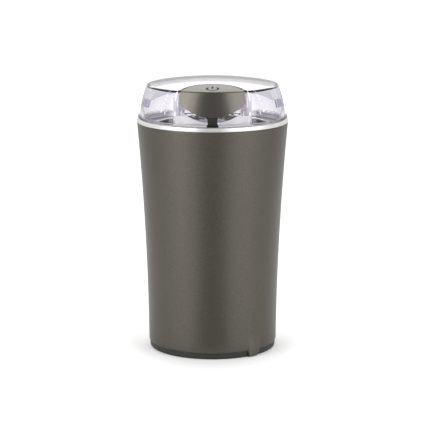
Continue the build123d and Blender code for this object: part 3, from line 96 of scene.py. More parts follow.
# --------------------------------------------------------------- node helpers
class Shader:
    """A material under construction, with short calls for its nodes."""

    def __init__(self, name: str) -> None:
        """Start an empty node material.

        Args:
            name: Name of the material.
        """
        self.material = bpy.data.materials.new(name)
        self.material.use_nodes = True
        self.tree = self.material.node_tree
        self.tree.nodes.clear()
        self.output = self.node("ShaderNodeOutputMaterial")
        self.surface = self.node("ShaderNodeBsdfPrincipled")
        self.link(self.surface, "BSDF", self.output, "Surface")
        self.coordinates = self.node("ShaderNodeTexCoord")

    def node(self, kind: str, **settings: object) -> bpy.types.Node:
        """Add a node.

        Args:
            kind: Blender's type name of the node.
            settings: Attributes to set on it.

        Returns:
            The new node.
        """
        made = self.tree.nodes.new(kind)
        for key, value in settings.items():
            setattr(made, key, value)
        return made

    def link(self, source: bpy.types.Node, out: str, target: bpy.types.Node, into: str) -> None:
        """Join one node's output to another's input.

        Args:
            source: Node that the value comes from.
            out: Name of its output.
            target: Node that the value goes to.
            into: Name of its input.
        """
        self.tree.links.new(source.outputs[out], target.inputs[into])

    def set(self, **values: object) -> None:
        """Set sockets of the surface shader, with underscores for spaces."""
        for key, value in values.items():
            self.surface.inputs[key.replace("_", " ")].default_value = value

    def noise(self, scale: float, detail: float = CLOUD_DETAIL) -> bpy.types.Node:
        """Noise on Object coordinates.

        Args:
            scale: Noise scale in cells per metre.
            detail: Octaves of the noise.

        Returns:
            The noise node.
        """
        grain = self.node("ShaderNodeTexNoise")
        grain.inputs["Scale"].default_value = scale
        grain.inputs["Detail"].default_value = detail
        self.link(self.coordinates, "Object", grain, "Vector")
        return grain

    def spread(self, source: bpy.types.Node, out: str, low: float, high: float) -> bpy.types.Node:
        """Map a 0 to 1 value onto a range and return the node.

        Args:
            source: Node with the value.
            out: Name of its output.
            low: What 0 becomes.
            high: What 1 becomes.

        Returns:
            The node with the mapped value.
        """
        ranged = self.node("ShaderNodeMapRange")
        ranged.inputs["To Min"].default_value = low
        ranged.inputs["To Max"].default_value = high
        self.link(source, out, ranged, "Value")
        return ranged

    def bevel(self, radius: float) -> bpy.types.Node:
        """Normals that run round sharp edges, as a mould or a file leaves them.

        Args:
            radius: Radius of the rounding in metres.

        Returns:
            The node with the rounded normal.
        """
        rounded_edge = self.node("ShaderNodeBevel", samples=4)
        rounded_edge.inputs["Radius"].default_value = radius
        return rounded_edge

    def vary_roughness(self, grain: bpy.types.Node, low: float, high: float) -> None:
        """Drive roughness by a noise node between two values."""
        ranged = self.spread(grain, "Fac", low, high)
        self.link(ranged, "Result", self.surface, "Roughness")

    def mix_colours(self, source: bpy.types.Node, out: str, dark: tuple, light: tuple) -> None:
        """Mix two colours by a 0 to 1 value into the base colour.

        Args:
            source: Node with the value.
            out: Name of its output.
            dark: Colour at 0.
            light: Colour at 1.
        """
        mix = self.node("ShaderNodeMix", data_type="RGBA")
        mix.inputs["A"].default_value = (*dark, 1)
        mix.inputs["B"].default_value = (*light, 1)
        self.link(source, out, mix, "Factor")
        self.link(mix, "Result", self.surface, "Base Color")

    def vary_colour(self, grain: bpy.types.Node, dark: tuple, light: tuple) -> None:
        """Mix two colours by a noise node, with more contrast than it has.

        Args:
            grain: The noise node.
            dark: Darker colour.
            light: Lighter colour.
        """
        sharp = self.spread(grain, "Fac", -0.25, 1.25)
        sharp.clamp = True
        self.mix_colours(sharp, "Result", dark, light)

    def bump(self, source: bpy.types.Node, out: str, strength: float, depth: float,
             edge: float = 0.0) -> None:
        """Raise the surface by a height value.

        Args:
            source: Node with the height.
            out: Name of its output.
            strength: Bump strength.
            depth: Height of the relief in metres.
            edge: Radius of the rounding on sharp edges in metres.
        """
        raised = self.node("ShaderNodeBump")
        if edge:
            self.link(self.bevel(edge), "Normal", raised, "Normal")
        raised.inputs["Strength"].default_value = strength
        raised.inputs["Distance"].default_value = depth
        self.link(source, out, raised, "Height")
        self.link(raised, "Normal", self.surface, "Normal")


# ------------------------------------------------------------------- finishes
@dataclass(frozen=True)
class Finish:
    """A plain moulded or cast finish with a fine grain.

    Attributes:
        name: Material name.
        dark: Darker of the two colours that the grain mixes.
        light: Lighter of the two colours.
        metallic: Metal share of the shader.
        rough: Lowest and highest roughness.
        cells: Grain cells per metre.
        relief: Height of the grain in metres.
        coat: Weight of the clear coat.
        edge: Radius of the rounding on sharp edges in metres.
    """

    name: str
    dark: tuple
    light: tuple
    metallic: float = 0.0
    rough: tuple = (0.4, 0.5)
    cells: float = 1400.0
    relief: float = 0.00002
    coat: float = 0.0
    edge: float = 0.0002
    strength: ClassVar[float] = 0.35
    grains_to_patch: ClassVar[int] = 40

    def build(self) -> bpy.types.Material:
        """Make the material.

        Returns:
            The new material.
        """
        shader = Shader(self.name)
        shader.set(Metallic=self.metallic, Coat_Weight=self.coat)
        grain = shader.noise(self.cells, FINE_DETAIL)
        patch = shader.noise(self.cells / self.grains_to_patch, SOFT_DETAIL)
        shader.vary_colour(grain, self.dark, self.light)
        shader.vary_roughness(patch, *self.rough)
        shader.bump(grain, "Fac", self.strength, self.relief, self.edge)
        return shader.material


@dataclass(frozen=True)
class TurnedMetal(Finish):
    """Metal with fine marks around Z, as turning or spinning leaves them.

    Attributes:
        rings: Marks per metre of height or radius.
    """

    rings: float = 2600.0
    strength: ClassVar[float] = 0.3

    def build(self) -> bpy.types.Material:
        """Make the material with marks that follow height and radius.

        Returns:
            The new material.
        """
        shader = Shader(self.name)
        shader.set(Metallic=self.metallic, Coat_Weight=self.coat)
        parts = shader.node("ShaderNodeSeparateXYZ")
        shader.link(shader.coordinates, "Object", parts, "Vector")
        flat = shader.node("ShaderNodeCombineXYZ")
        shader.link(parts, "X", flat, "X")
        shader.link(parts, "Y", flat, "Y")
        radius = shader.node("ShaderNodeVectorMath", operation="LENGTH")
        shader.link(flat, "Vector", radius, "Vector")
        place = shader.node("ShaderNodeCombineXYZ")
        shader.link(radius, "Value", place, "X")
        shader.link(parts, "Z", place, "Z")
        marks = shader.node("ShaderNodeTexNoise")
        marks.inputs["Scale"].default_value = self.rings
        marks.inputs["Detail"].default_value = FINE_DETAIL
        shader.link(place, "Vector", marks, "Vector")
        cloud = shader.noise(self.cells)
        shader.vary_colour(cloud, self.dark, self.light)
        shader.vary_roughness(marks, *self.rough)
        shader.bump(marks, "Fac", self.strength, self.relief, self.edge)
        return shader.material


@dataclass(frozen=True)
class LinedMetal(Finish):
    """Metal or wire built of thin layers on top of each other.

    Attributes:
        pitch: Height of a layer in metres.
        blur: How far the lines stray.
    """

    pitch: float = 0.0006
    blur: float = 0.15
    strength: ClassVar[float] = 0.6

    def build(self) -> bpy.types.Material:
        """Make the material with one dark line in each layer.

        Returns:
            The new material.
        """
        shader = Shader(self.name)
        shader.set(Metallic=self.metallic, Coat_Weight=self.coat)
        lines = shader.node("ShaderNodeTexWave", wave_type="BANDS", wave_profile="SIN",
                            bands_direction="Z")
        lines.inputs["Scale"].default_value = math.pi / (10 * self.pitch)
        lines.inputs["Distortion"].default_value = self.blur
        lines.inputs["Detail"].default_value = 1.0
        shader.link(shader.coordinates, "Object", lines, "Vector")
        shader.vary_colour(lines, self.dark, self.light)
        patch = shader.noise(self.cells)
        shader.vary_roughness(patch, *self.rough)
        shader.bump(lines, "Fac", self.strength, self.relief, self.edge)
        return shader.material


@dataclass(frozen=True)
class FlakePaint(Finish):
    """Metallic paint with fine flakes under a thin satin lacquer.

    Attributes:
        flakes: Flakes per metre.
        lacquer_rough: Roughness of the lacquer.
        peel: Waves of the lacquer to one patch of roughness.
    """

    flakes: float = 5200.0
    lacquer_rough: float = 0.32
    peel: float = 6.0
    strength: ClassVar[float] = 0.2

    def build(self) -> bpy.types.Material:
        """Make the paint.

        Returns:
            The new material.
        """
        shader = Shader(self.name)
        shader.set(Metallic=self.metallic, Coat_Weight=self.coat,
                   Coat_Roughness=self.lacquer_rough)
        cells = shader.node("ShaderNodeTexVoronoi", feature="F1")
        cells.inputs["Scale"].default_value = self.flakes
        shader.link(shader.coordinates, "Object", cells, "Vector")
        tint = shader.node("ShaderNodeSeparateColor")
        shader.link(cells, "Color", tint, "Color")
        shader.mix_colours(tint, "Red", self.dark, self.light)
        patch = shader.noise(self.cells)
        shader.vary_roughness(patch, *self.rough)
        peel = shader.noise(self.cells * self.peel, SOFT_DETAIL)
        shader.bump(peel, "Fac", self.strength, self.relief, self.edge)
        return shader.material


@dataclass(frozen=True)
class ClearMoulding(Finish):
    """Clear moulded plastic with a faint waviness.

    The darker colour is what light takes on in the depth of the plastic, the
    lighter one belongs to its surface, and the cells are its waves.

    Attributes:
        ior: Index of refraction.
        clear: Share of the light that goes through the surface.
        density: How fast the depth takes on its colour, per metre.
        glow: Painted light: emission that lightens a frosted face, in place of the light that
            can't reach it through clear plastic.
    """

    ior: float = 1.49
    clear: float = 1.0
    density: float = 60.0
    glow: float = 0.0
    strength: ClassVar[float] = 0.25

    def build(self) -> bpy.types.Material:
        """Make the clear plastic.

        Returns:
            The new material.
        """
        shader = Shader(self.name)
        shader.set(Base_Color=(*self.light, 1), Roughness=self.rough[0], IOR=self.ior,
                   Transmission_Weight=self.clear, Emission_Color=(*self.light, 1),
                   Emission_Strength=self.glow)
        ripple = shader.noise(self.cells, SOFT_DETAIL)
        shader.bump(ripple, "Fac", self.strength, self.relief, self.edge)
        depth = shader.node("ShaderNodeVolumeAbsorption")
        depth.inputs["Color"].default_value = (*self.dark, 1)
        depth.inputs["Density"].default_value = self.density
        shader.link(depth, "Volume", shader.output, "Volume")
        return shader.material


LID_DEPTH = (0.80, 0.755, 0.87)
PAINT = FlakePaint("housing_metallic_paint", (0.075, 0.068, 0.056), (0.126, 0.116, 0.097),
                   metallic=0.85, rough=(0.36, 0.42), cells=60.0, relief=0.00001, coat=0.15,
                   edge=0.0005)
CAP_PAINT = FlakePaint("button_metallic_paint", (0.078, 0.073, 0.063), (0.12, 0.113, 0.099),
                       metallic=0.85, rough=(0.22, 0.26), cells=60.0, relief=0.000008,
                       coat=0.1, edge=0.0002)
TRIM = TurnedMetal("trim_satin_plate", (0.80, 0.79, 0.77), (0.87, 0.86, 0.84),
                   metallic=0.85, rough=(0.26, 0.34), cells=90.0, relief=0.000004)
CLEAR = ClearMoulding("clear_lid_plastic", LID_DEPTH, (0.952, 0.947, 0.968),
                      rough=(0.015, 0.015), cells=70.0, relief=0.00006)
POCKET_CLEAR = ClearMoulding("rippled_clear_plastic", LID_DEPTH, (0.93, 0.915, 0.95),
                             rough=(0.16, 0.16), cells=420.0, relief=0.0006, clear=0.62)
# Dark tint on the smile-shaped cut edge of the lid: painted shade along that edge.
SHADED_CUT_CLEAR = ClearMoulding("cut_edge_painted_shade", LID_DEPTH, (0.33, 0.31, 0.37),
                          rough=(0.3, 0.3), cells=300.0, relief=0.0001, clear=0.6)
# Frosted plastic for the posts with a painted glow: its emission lightens them.
POST_FROST_GLOW = ClearMoulding("frosted_post_painted_glow", LID_DEPTH, (0.86, 0.84, 0.89),
                           rough=(0.4, 0.4), cells=300.0, relief=0.0001, clear=0.12, glow=0.3)
# Tinted patches inside the lid's side walls: painted dark reflections, not a part of the lid.
REFLECTION_PAD_CLEAR = ClearMoulding("painted_reflection_plastic", LID_DEPTH, (0.66, 0.63, 0.82),
                          rough=(0.12, 0.12), cells=300.0, relief=0.0001)
DECK = Finish("deck_grey_moulding", (0.3, 0.295, 0.3), (0.37, 0.365, 0.37),
              rough=(0.3, 0.42), cells=2200.0, relief=0.00002)
BLACK = Finish("moulded_black", (0.012, 0.012, 0.013), (0.03, 0.03, 0.032),
               rough=(0.35, 0.5), cells=2200.0, relief=0.00003)
DARK_BASE = Finish("base_dark_moulding", (0.010, 0.010, 0.009), (0.021, 0.020, 0.019),
                   rough=(0.4, 0.55), cells=2000.0, relief=0.00003)
RUBBER = Finish("soft_black_rubber", (0.014, 0.014, 0.014), (0.03, 0.03, 0.03),
                rough=(0.65, 0.8), cells=1500.0, relief=0.00004)
BOWL_STEEL = TurnedMetal("bowl_spun_steel", (0.56, 0.555, 0.545), (0.66, 0.655, 0.64),
                         metallic=1.0, rough=(0.13, 0.24), cells=80.0, relief=0.000006)
BLADE_STEEL = Finish("blade_ground_steel", (0.6, 0.6, 0.59), (0.72, 0.72, 0.7),
                     metallic=1.0, rough=(0.16, 0.28), cells=1800.0, relief=0.000005)
PLATED = Finish("zinc_plated_steel", (0.5, 0.5, 0.47), (0.64, 0.64, 0.6),
                metallic=1.0, rough=(0.26, 0.4), cells=700.0, relief=0.000008)
SPRING_WIRE = Finish("spring_wire", (0.45, 0.45, 0.44), (0.62, 0.62, 0.6),
                     metallic=1.0, rough=(0.2, 0.32), cells=900.0, relief=0.000005)
LAMINATION = LinedMetal("stacked_sheet_steel", (0.13, 0.13, 0.135), (0.36, 0.36, 0.37),
                        metallic=0.9, rough=(0.4, 0.55), cells=300.0, relief=0.00006)
WINDING = LinedMetal("enamelled_copper_wire", (0.22, 0.07, 0.02), (0.62, 0.27, 0.1),
                     metallic=0.75, rough=(0.22, 0.34), cells=400.0, relief=0.00012,
                     coat=0.4)
COPPER = TurnedMetal("turned_copper", (0.6, 0.3, 0.17), (0.74, 0.41, 0.25),
                     metallic=1.0, rough=(0.2, 0.34), cells=200.0, relief=0.000006)
BRONZE = Finish("sintered_bronze", (0.36, 0.25, 0.12), (0.52, 0.38, 0.2),
                metallic=0.9, rough=(0.4, 0.6), cells=2600.0, relief=0.00003)
BRASS = Finish("stamped_brass", (0.6, 0.45, 0.2), (0.74, 0.58, 0.3),
               metallic=1.0, rough=(0.22, 0.36), cells=600.0, relief=0.000008)
CARBON = Finish("carbon_block", (0.012, 0.012, 0.013), (0.035, 0.035, 0.037),
                rough=(0.5, 0.65), cells=3200.0, relief=0.00003)
SWITCH = Finish("switch_moulding", (0.02, 0.02, 0.024), (0.045, 0.045, 0.05),
                rough=(0.25, 0.35), cells=900.0, relief=0.00001)
RED_PIN = Finish("red_pin_moulding", (0.42, 0.02, 0.015), (0.56, 0.04, 0.03),
                 rough=(0.25, 0.35), cells=900.0, relief=0.00001)
IVORY = Finish("terminal_ivory", (0.68, 0.65, 0.56), (0.78, 0.75, 0.67),
               rough=(0.3, 0.42), cells=700.0, relief=0.00001)
BROWN_WIRE = Finish("brown_insulation", (0.1, 0.035, 0.015), (0.16, 0.06, 0.028),
                    rough=(0.34, 0.46), cells=1200.0, relief=0.00001)
BLUE_WIRE = Finish("blue_insulation", (0.015, 0.06, 0.26), (0.03, 0.09, 0.36),
                   rough=(0.34, 0.46), cells=1200.0, relief=0.00001)
FUSE_CAN = Finish("fuse_can", (0.58, 0.58, 0.56), (0.7, 0.7, 0.68),
                  metallic=1.0, rough=(0.28, 0.42), cells=800.0, relief=0.000006)
YELLOW_BOX = Finish("capacitor_box", (0.55, 0.4, 0.04), (0.68, 0.5, 0.07),
                    rough=(0.3, 0.42), cells=600.0, relief=0.00001)


# ---------------------------------------------------------------- mesh helpers
Profile = list[tuple[float, float]]


def smooth_step(outside: float, inside: float, value: float) -> float:
    """A soft step that is 0 at one value and 1 at another.

    Args:
        outside: Value where it is 0.
        inside: Value where it is 1.
        value: Value to read it at.

    Returns:
        The step's height, from 0 to 1.
    """
    t = max(0.0, min(1.0, (value - outside) / (inside - outside)))
    return t * t * (3 - 2 * t)


def arc(start: tuple, end: tuple, sag: float, steps: int) -> Profile:
    """Points on an arc between two points of a profile, without its first point.

    Args:
        start: Radius and height where the arc begins.
        end: Radius and height where it ends.
        sag: How far the arc bows to the right of its direction of travel.
        steps: Number of points.

    Returns:
        The points after start, up to and including end.
    """
    first, last = Vector(start), Vector(end)
    chord = last - first
    side = Vector((chord.y, -chord.x)).normalized()
    if abs(sag) < 1e-9:
        return [tuple(first.lerp(last, i / steps)) for i in range(1, steps + 1)]
    radius = (chord.length ** 2 / 4 + sag ** 2) / (2 * sag)
    centre = (first + last) / 2 + side * (sag - radius)
    ray = first - centre
    sweep = 2 * math.asin(max(-1.0, min(1.0, chord.length / (2 * abs(radius)))))
    turn = math.copysign(sweep, sag)
    points = []
    for i in range(1, steps + 1):
        angle = turn * i / steps
        c, s = math.cos(angle), math.sin(angle)
        points.append((centre.x + ray.x * c - ray.y * s, centre.y + ray.x * s + ray.y * c))
    return points


def rounded(points: Profile, radii: dict[int, float], steps: int = 5) -> Profile:
    """A profile whose chosen corners are rounded.

    Args:
        points: Corners of the profile.
        radii: Radius of the rounding for each corner's index.
        steps: Points on each rounding.

    Returns:
        The profile with its roundings.
    """
    made: Profile = []
    for i, corner in enumerate(points):
        if i not in radii:
            made.append(corner)
            continue
        here = Vector(corner)
        back = (Vector(points[i - 1]) - here).normalized()
        ahead = (Vector(points[(i + 1) % len(points)]) - here).normalized()
        half = back.angle(ahead) / 2
        cut = radii[i] / math.tan(half)
        centre = here + (back + ahead).normalized() * radii[i] / math.sin(half)
        first = here + back * cut - centre
        last = here + ahead * cut - centre
        turn = first.angle_signed(last)
        for k in range(steps + 1):
            angle = -turn * k / steps
            c, s = math.cos(angle), math.sin(angle)
            made.append((centre.x + first.x * c - first.y * s,
                         centre.y + first.x * s + first.y * c))
    return made


class Piece:
    """A mesh being built with bmesh operators, in millimetres until it is finished."""

    def __init__(self, name: str) -> None:
        """Start an empty mesh.

        Args:
            name: Name of the finished piece.
        """
        self.name = name
        self.mesh = bmesh.new()

    def turn(self, profile: Profile, closed: bool = True, steps: int = ROUND_STEPS,
             centre: tuple = (0.0, 0.0)) -> "Piece":
        """Spin a profile of radius and height about an upright axis.

        Args:
            profile: Points of the profile.
            closed: Whether the last point joins the first.
            steps: Divisions of the full turn.
            centre: Place of the axis in plan.

        Returns:
            The piece itself.
        """
        x, y = centre
        verts = [self.mesh.verts.new((x + r, y, z)) for r, z in profile]
        edges = [self.mesh.edges.new(pair) for pair in zip(verts, verts[1:])]
        if closed:
            edges.append(self.mesh.edges.new((verts[-1], verts[0])))
        bmesh.ops.spin(self.mesh, geom=verts + edges, cent=(x, y, 0), axis=(0, 0, 1),
                       angle=math.tau, steps=steps, use_merge=True, use_duplicate=False)
        bmesh.ops.remove_doubles(self.mesh, verts=self.mesh.verts, dist=0.0005)
        bmesh.ops.recalc_face_normals(self.mesh, faces=self.mesh.faces)
        return self

    def block(self, low: tuple, high: tuple, bevel: float = 0.0, segments: int = 3) -> "Piece":
        """Add a box between two corners, with bevelled edges.

        Args:
            low: Lowest corner.
            high: Highest corner.
            bevel: Width of the bevel.
            segments: Segments of the bevel.

        Returns:
            The piece itself.
        """
        size = Vector(high) - Vector(low)
        middle = (Vector(high) + Vector(low)) / 2
        place = Matrix.Translation(middle) @ Matrix.Diagonal((*size, 1))
        made = bmesh.ops.create_cube(self.mesh, size=1.0, matrix=place)
        if bevel:
            edges = list({e for v in made["verts"] for e in v.link_edges})
            bmesh.ops.bevel(self.mesh, geom=edges, offset=bevel, segments=segments,
                            affect="EDGES", profile=0.5, material=-1)
        return self

    def column(self, radius: float, low: float, high: float, centre: tuple = (0.0, 0.0),
               steps: int = 96) -> "Piece":
        """Add an upright closed cylinder.

        Args:
            radius: Its radius.
            low: Height of its foot.
            high: Height of its top.
            centre: Place of its axis in plan.
            steps: Its sides.

        Returns:
            The piece itself.
        """
        place = Matrix.Translation((*centre, (low + high) / 2))
        bmesh.ops.create_cone(self.mesh, cap_ends=True, segments=steps, radius1=radius,
                              radius2=radius, depth=high - low, matrix=place)
        return self

    def roller(self, radius: float, low: float, high: float, x: float, z: float,
               steps: int = 96) -> "Piece":
        """Add a closed cylinder that lies along Y between two places.

        Args:
            radius: Its radius.
            low: Y of its front end.
            high: Y of its rear end.
            x: Its axis from side to side.
            z: Height of its axis.
            steps: Its sides.

        Returns:
            The piece itself.
        """
        place = (Matrix.Translation((x, (low + high) / 2, z))
                 @ Matrix.Rotation(math.pi / 2, 4, "X"))
        bmesh.ops.create_cone(self.mesh, cap_ends=True, segments=steps, radius1=radius,
                              radius2=radius, depth=high - low, matrix=place)
        return self

    def finish(self, smooth: bool = True) -> bpy.types.Object:
        """Turn the mesh into an object in metres at the origin.

        Args:
            smooth: Whether faces shade smoothly.

        Returns:
            The new object.
        """
        bmesh.ops.scale(self.mesh, vec=(MM, MM, MM), verts=self.mesh.verts)
        data = bpy.data.meshes.new(self.name)
        for face in self.mesh.faces:
            face.smooth = smooth
        self.mesh.to_mesh(data)
        self.mesh.free()
        made = bpy.data.objects.new(self.name, data)
        bpy.context.scene.collection.objects.link(made)
        return made


def apply_modifiers(piece: bpy.types.Object) -> None:
    """Bake a piece's modifiers into its mesh.

    Args:
        piece: The piece.
    """
    graph = bpy.context.evaluated_depsgraph_get()
    baked = bpy.data.meshes.new_from_object(piece.evaluated_get(graph))
    old = piece.data
    piece.modifiers.clear()
    piece.data = baked
    bpy.data.meshes.remove(old)


def combine(piece: bpy.types.Object, tool: bpy.types.Object, how: Work) -> None:
    """Cut, join or intersect a piece with a tool, which is used up.

    Args:
        piece: The piece that stays.
        tool: The closed mesh that works on it.
        how: What the tool does.
    """
    boolean = piece.modifiers.new("work", "BOOLEAN")
    boolean.operation = how.value
    boolean.solver = "EXACT"
    boolean.object = tool
    bpy.context.view_layer.update()
    apply_modifiers(piece)
    bpy.data.objects.remove(tool)


def soften(piece: bpy.types.Object, angle: float) -> None:
    """Shade a piece smoothly except across edges sharper than an angle.

    Args:
        piece: The piece.
        angle: The angle in degrees.
    """
    limit = math.radians(angle)
    work = bmesh.new()
    work.from_mesh(piece.data)
    for face in work.faces:
        face.smooth = True
    for edge in work.edges:
        edge.smooth = len(edge.link_faces) == 2 and edge.calc_face_angle(0.0) < limit
    work.to_mesh(piece.data)
    work.free()


def dress(piece: bpy.types.Object, material: bpy.types.Material) -> None:
    """Give a piece one material.

    Args:
        piece: The piece.
        material: Its material.
    """
    piece.data.materials.clear()
    piece.data.materials.append(material)


# ------------------------------------------------------------------ the studio
@dataclass(frozen=True)
class Lamp:
    """A soft rectangular lamp that faces the grinder.

    Attributes:
        name: Name of the lamp.
        place: Where it stands.
        size: Width and height.
        power: Power in watts.
    """

    name: str
    place: tuple
    size: tuple
    power: float

    def build(self, aim: tuple) -> None:
        """Add the lamp, turned towards a point.

        Args:
            aim: The point.
        """
        light = bpy.data.lights.new(self.name, "AREA")
        light.shape = "RECTANGLE"
        light.size, light.size_y = self.size
        light.energy = self.power
        made = bpy.data.objects.new(self.name, light)
        made.location = self.place
        ray = Vector(aim) - Vector(self.place)
        made.rotation_euler = ray.to_track_quat("-Z", "Y").to_euler()
        bpy.context.scene.collection.objects.link(made)


@dataclass(frozen=True)
class Card:
    """A flat card, dark or bright, that nothing but gloss sees. Lengths in millimetres.

    Attributes:
        name: Name of the card.
        shade: Name of its material.
        glow: How bright it is.
        half: Half its width and half its height.
        centre: Place of its middle, before it is turned.
        lean: Degrees that it is tipped up from lying flat.
        turn: Degrees from the front to the card, towards the right.
        foot: Share of its width that a strip on the floor narrows to, and that end's Y and Z.
    """

    name: str
    shade: str
    glow: float
    half: tuple
    centre: tuple
    lean: float = 90.0
    turn: float = 0.0
    foot: tuple = ()

    def build(self) -> None:
        """Add the card."""
        piece = Piece(self.name)
        place = (Matrix.Rotation(math.radians(self.turn), 4, "Z")
                 @ Matrix.Translation(self.centre)
                 @ Matrix.Rotation(math.radians(self.lean), 4, "X")
                 @ Matrix.Diagonal((*self.half, 1, 1)))
        bmesh.ops.create_grid(piece.mesh, x_segments=1, y_segments=1, size=1.0, matrix=place)
        if self.foot:
            share, far_y, far_z = self.foot
            lowest = [e for e in piece.mesh.edges if all(v.co.z < 1 for v in e.verts)]
            strip = bmesh.ops.extrude_edge_only(piece.mesh, edges=lowest)
            for vert in (v for v in strip["geom"] if isinstance(v, bmesh.types.BMVert)):
                vert.co = (vert.co.x * share, far_y, far_z)
        shader = Shader(self.shade)
        shader.set(Base_Color=(0, 0, 0, 1), Roughness=1.0, Specular_IOR_Level=0.0,
                   Emission_Color=(1, 1, 1, 1), Emission_Strength=self.glow)
        made = piece.finish(smooth=False)
        dress(made, shader.material)
        made.visible_camera = False
        made.visible_diffuse = False
        made.visible_transmission = False
        made.visible_shadow = False


LAMPS = (
    Lamp("left_card", (-0.85, -0.68, 0.45), (0.9, 1.3), 8.32),
    Lamp("right_card", (0.85, -0.68, 0.45), (0.9, 1.3), 8.0),
    Lamp("top_card", (0.0, 0.1, 1.0), (0.9, 0.9), 4.0),
    Lamp("back_card", (0.0, 0.95, 0.78), (1.8, 0.7), 3.4),
)
CARDS = (
    Card("front_flag", "dark_felt", 0.42, (170.0, 550.0), (0.0, -500.0, 550.0),
         foot=(0.15, -55.0, 1.0)),
    Card("top_flag", "dark_top_felt", 0.04, (280.0, 170.0), (0.0, -130.0, 620.0), lean=12.0),
    Card("left_gloss", "left_gloss", 4.125, (130.0, 550.0), (0.0, -850.0, 550.0), turn=-49.0),
    Card("right_gloss", "right_gloss", 3.3, (130.0, 550.0), (0.0, -850.0, 550.0), turn=49.0),
)


@dataclass
class Studio:
    """Camera, lamps, floor and surroundings.

    Attributes:
        lens: Focal length in millimetres on a 36 mm sensor.
        sensor: Width of the sensor in millimetres.
        distance: Level distance from the camera to the grinder's axis.
        height: Height of the camera above the floor.
        pitch: Degrees that the camera looks down.
        shift: Sideways shift of the picture, as a share of its width.
        near_clip: Nearest distance that the camera sees.
        aim: Point that the lamps are turned to.
        ambient: Brightness of the surroundings to diffuse light.
        gloss_glow: Their brightness to gloss and through clear plastic.
        floor_half: Half the floor's width in millimetres.
        floor_tone: Grey of the floor.
        near_shift: Moves the point that the near rise is taken from, so that the painted shadow
            reaches further in front.
        near_reach: Distances where the floor's own light rises beside the grinder; inside them the
            floor is darker, a painted shadow round the grinder.
        near_glow: Lowest and highest value of that rise.
        far_reach: Distances where it rises once more, to white.
        far_glow: Lowest and highest value of that rise.
    """

    lens: float = 154.05
    sensor: float = 36.0
    distance: float = 1.196
    height: float = 0.3217
    pitch: float = 11.5
    shift: float = 0.0256
    near_clip: float = 0.01
    aim: tuple = (0.0, 0.0, 0.09)
    ambient: float = 0.44
    gloss_glow: float = 0.76
    floor_half: float = 3000.0
    floor_tone: float = 0.86
    # The near rise paints a soft shadow on the floor round the grinder, darkest in front of it.
    near_shift: tuple = (0.0, 0.012, 0.0)
    near_reach: tuple = (0.029, 0.06)
    near_glow: tuple = (0.1, 0.25)
    far_reach: tuple = (0.25, 1.6)
    far_glow: tuple = (0.0, 0.45)

    def build(self) -> None:
        """Make everything that isn't part of the grinder."""
        bpy.context.scene.view_settings.view_transform = "Standard"
        self.camera()
        self.world()
        self.floor()
        for card in CARDS:
            card.build()
        for lamp in LAMPS:
            lamp.build(self.aim)

    def camera(self) -> None:
        """Place the camera in front of the grinder and slightly above it."""
        lens = bpy.data.cameras.new("camera")
        lens.lens = self.lens
        lens.sensor_width = self.sensor
        lens.shift_x = self.shift
        lens.clip_start = self.near_clip
        made = bpy.data.objects.new("camera", lens)
        made.location = (0.0, -self.distance, self.height)
        made.rotation_euler = (math.radians(90 - self.pitch), 0.0, 0.0)
        bpy.context.scene.collection.objects.link(made)
        bpy.context.scene.camera = made

    def world(self) -> None:
        """White surroundings to the eye, paler grey to gloss, and a soft light from them."""
        world = bpy.data.worlds.new("studio")
        bpy.context.scene.world = world
        world.use_nodes = True
        tree = world.node_tree
        tree.nodes.clear()
        output = tree.nodes.new("ShaderNodeOutputWorld")
        background = tree.nodes.new("ShaderNodeBackground")
        path = tree.nodes.new("ShaderNodeLightPath")
        background.inputs["Color"].default_value = (1, 1, 1, 1)
        bent = self.either(tree, path.outputs["Is Glossy Ray"],
                           path.outputs["Is Transmission Ray"])
        dimmed = tree.nodes.new("ShaderNodeMath")
        dimmed.operation = "MULTIPLY"
        dimmed.inputs[1].default_value = self.gloss_glow
        tree.links.new(bent, dimmed.inputs[0])
        seen = self.either(tree, path.outputs["Is Camera Ray"], dimmed.outputs[0])
        least = tree.nodes.new("ShaderNodeMath")
        least.operation = "MAXIMUM"
        least.inputs[1].default_value = self.ambient
        tree.links.new(seen, least.inputs[0])
        tree.links.new(least.outputs[0], background.inputs["Strength"])
        tree.links.new(background.outputs["Background"], output.inputs["Surface"])

    @staticmethod
    def either(tree: bpy.types.NodeTree, first: bpy.types.NodeSocket,
               second: bpy.types.NodeSocket) -> bpy.types.NodeSocket:
        """The greater of two values in a node tree.

        Args:
            tree: The node tree.
            first: One value.
            second: The other value.

        Returns:
            Socket with the greater value.
        """
        larger = tree.nodes.new("ShaderNodeMath")
        larger.operation = "MAXIMUM"
        tree.links.new(first, larger.inputs[0])
        tree.links.new(second, larger.inputs[1])
        return larger.outputs[0]

    def floor(self) -> None:
        """A pale floor that keeps the grinder's soft shadow, and has painted shadow too: its own
        light is lower close to the grinder.
        """
        piece = Piece("floor")
        bmesh.ops.create_grid(piece.mesh, x_segments=1, y_segments=1, size=self.floor_half)
        made = piece.finish(smooth=False)
        shader = Shader("pale_floor")
        tone = self.floor_tone
        shader.set(Base_Color=(tone, tone, tone, 1), Roughness=0.9,
                   Specular_IOR_Level=0.1, Emission_Color=(1, 1, 1, 1))
        path = shader.node("ShaderNodeLightPath")
        straight = self.either(shader.tree, path.outputs["Is Camera Ray"],
                               path.outputs["Is Transmission Ray"])
        # Painted shadow: the floor's own light is lowered close to the grinder, most in front of
        # it.
        near = self.ramp(shader, self.near_shift, self.near_reach, self.near_glow)
        far = self.ramp(shader, (0.0, 0.0, 0.0), self.far_reach, self.far_glow)
        glow = shader.node("ShaderNodeMath", operation="ADD")
        shader.tree.links.new(near.outputs["Result"], glow.inputs[0])
        shader.tree.links.new(far.outputs["Result"], glow.inputs[1])
        seen = shader.node("ShaderNodeMath", operation="MULTIPLY")
        shader.tree.links.new(straight, seen.inputs[0])
        shader.tree.links.new(glow.outputs["Value"], seen.inputs[1])
        shader.link(seen, "Value", shader.surface, "Emission Strength")
        dress(made, shader.material)

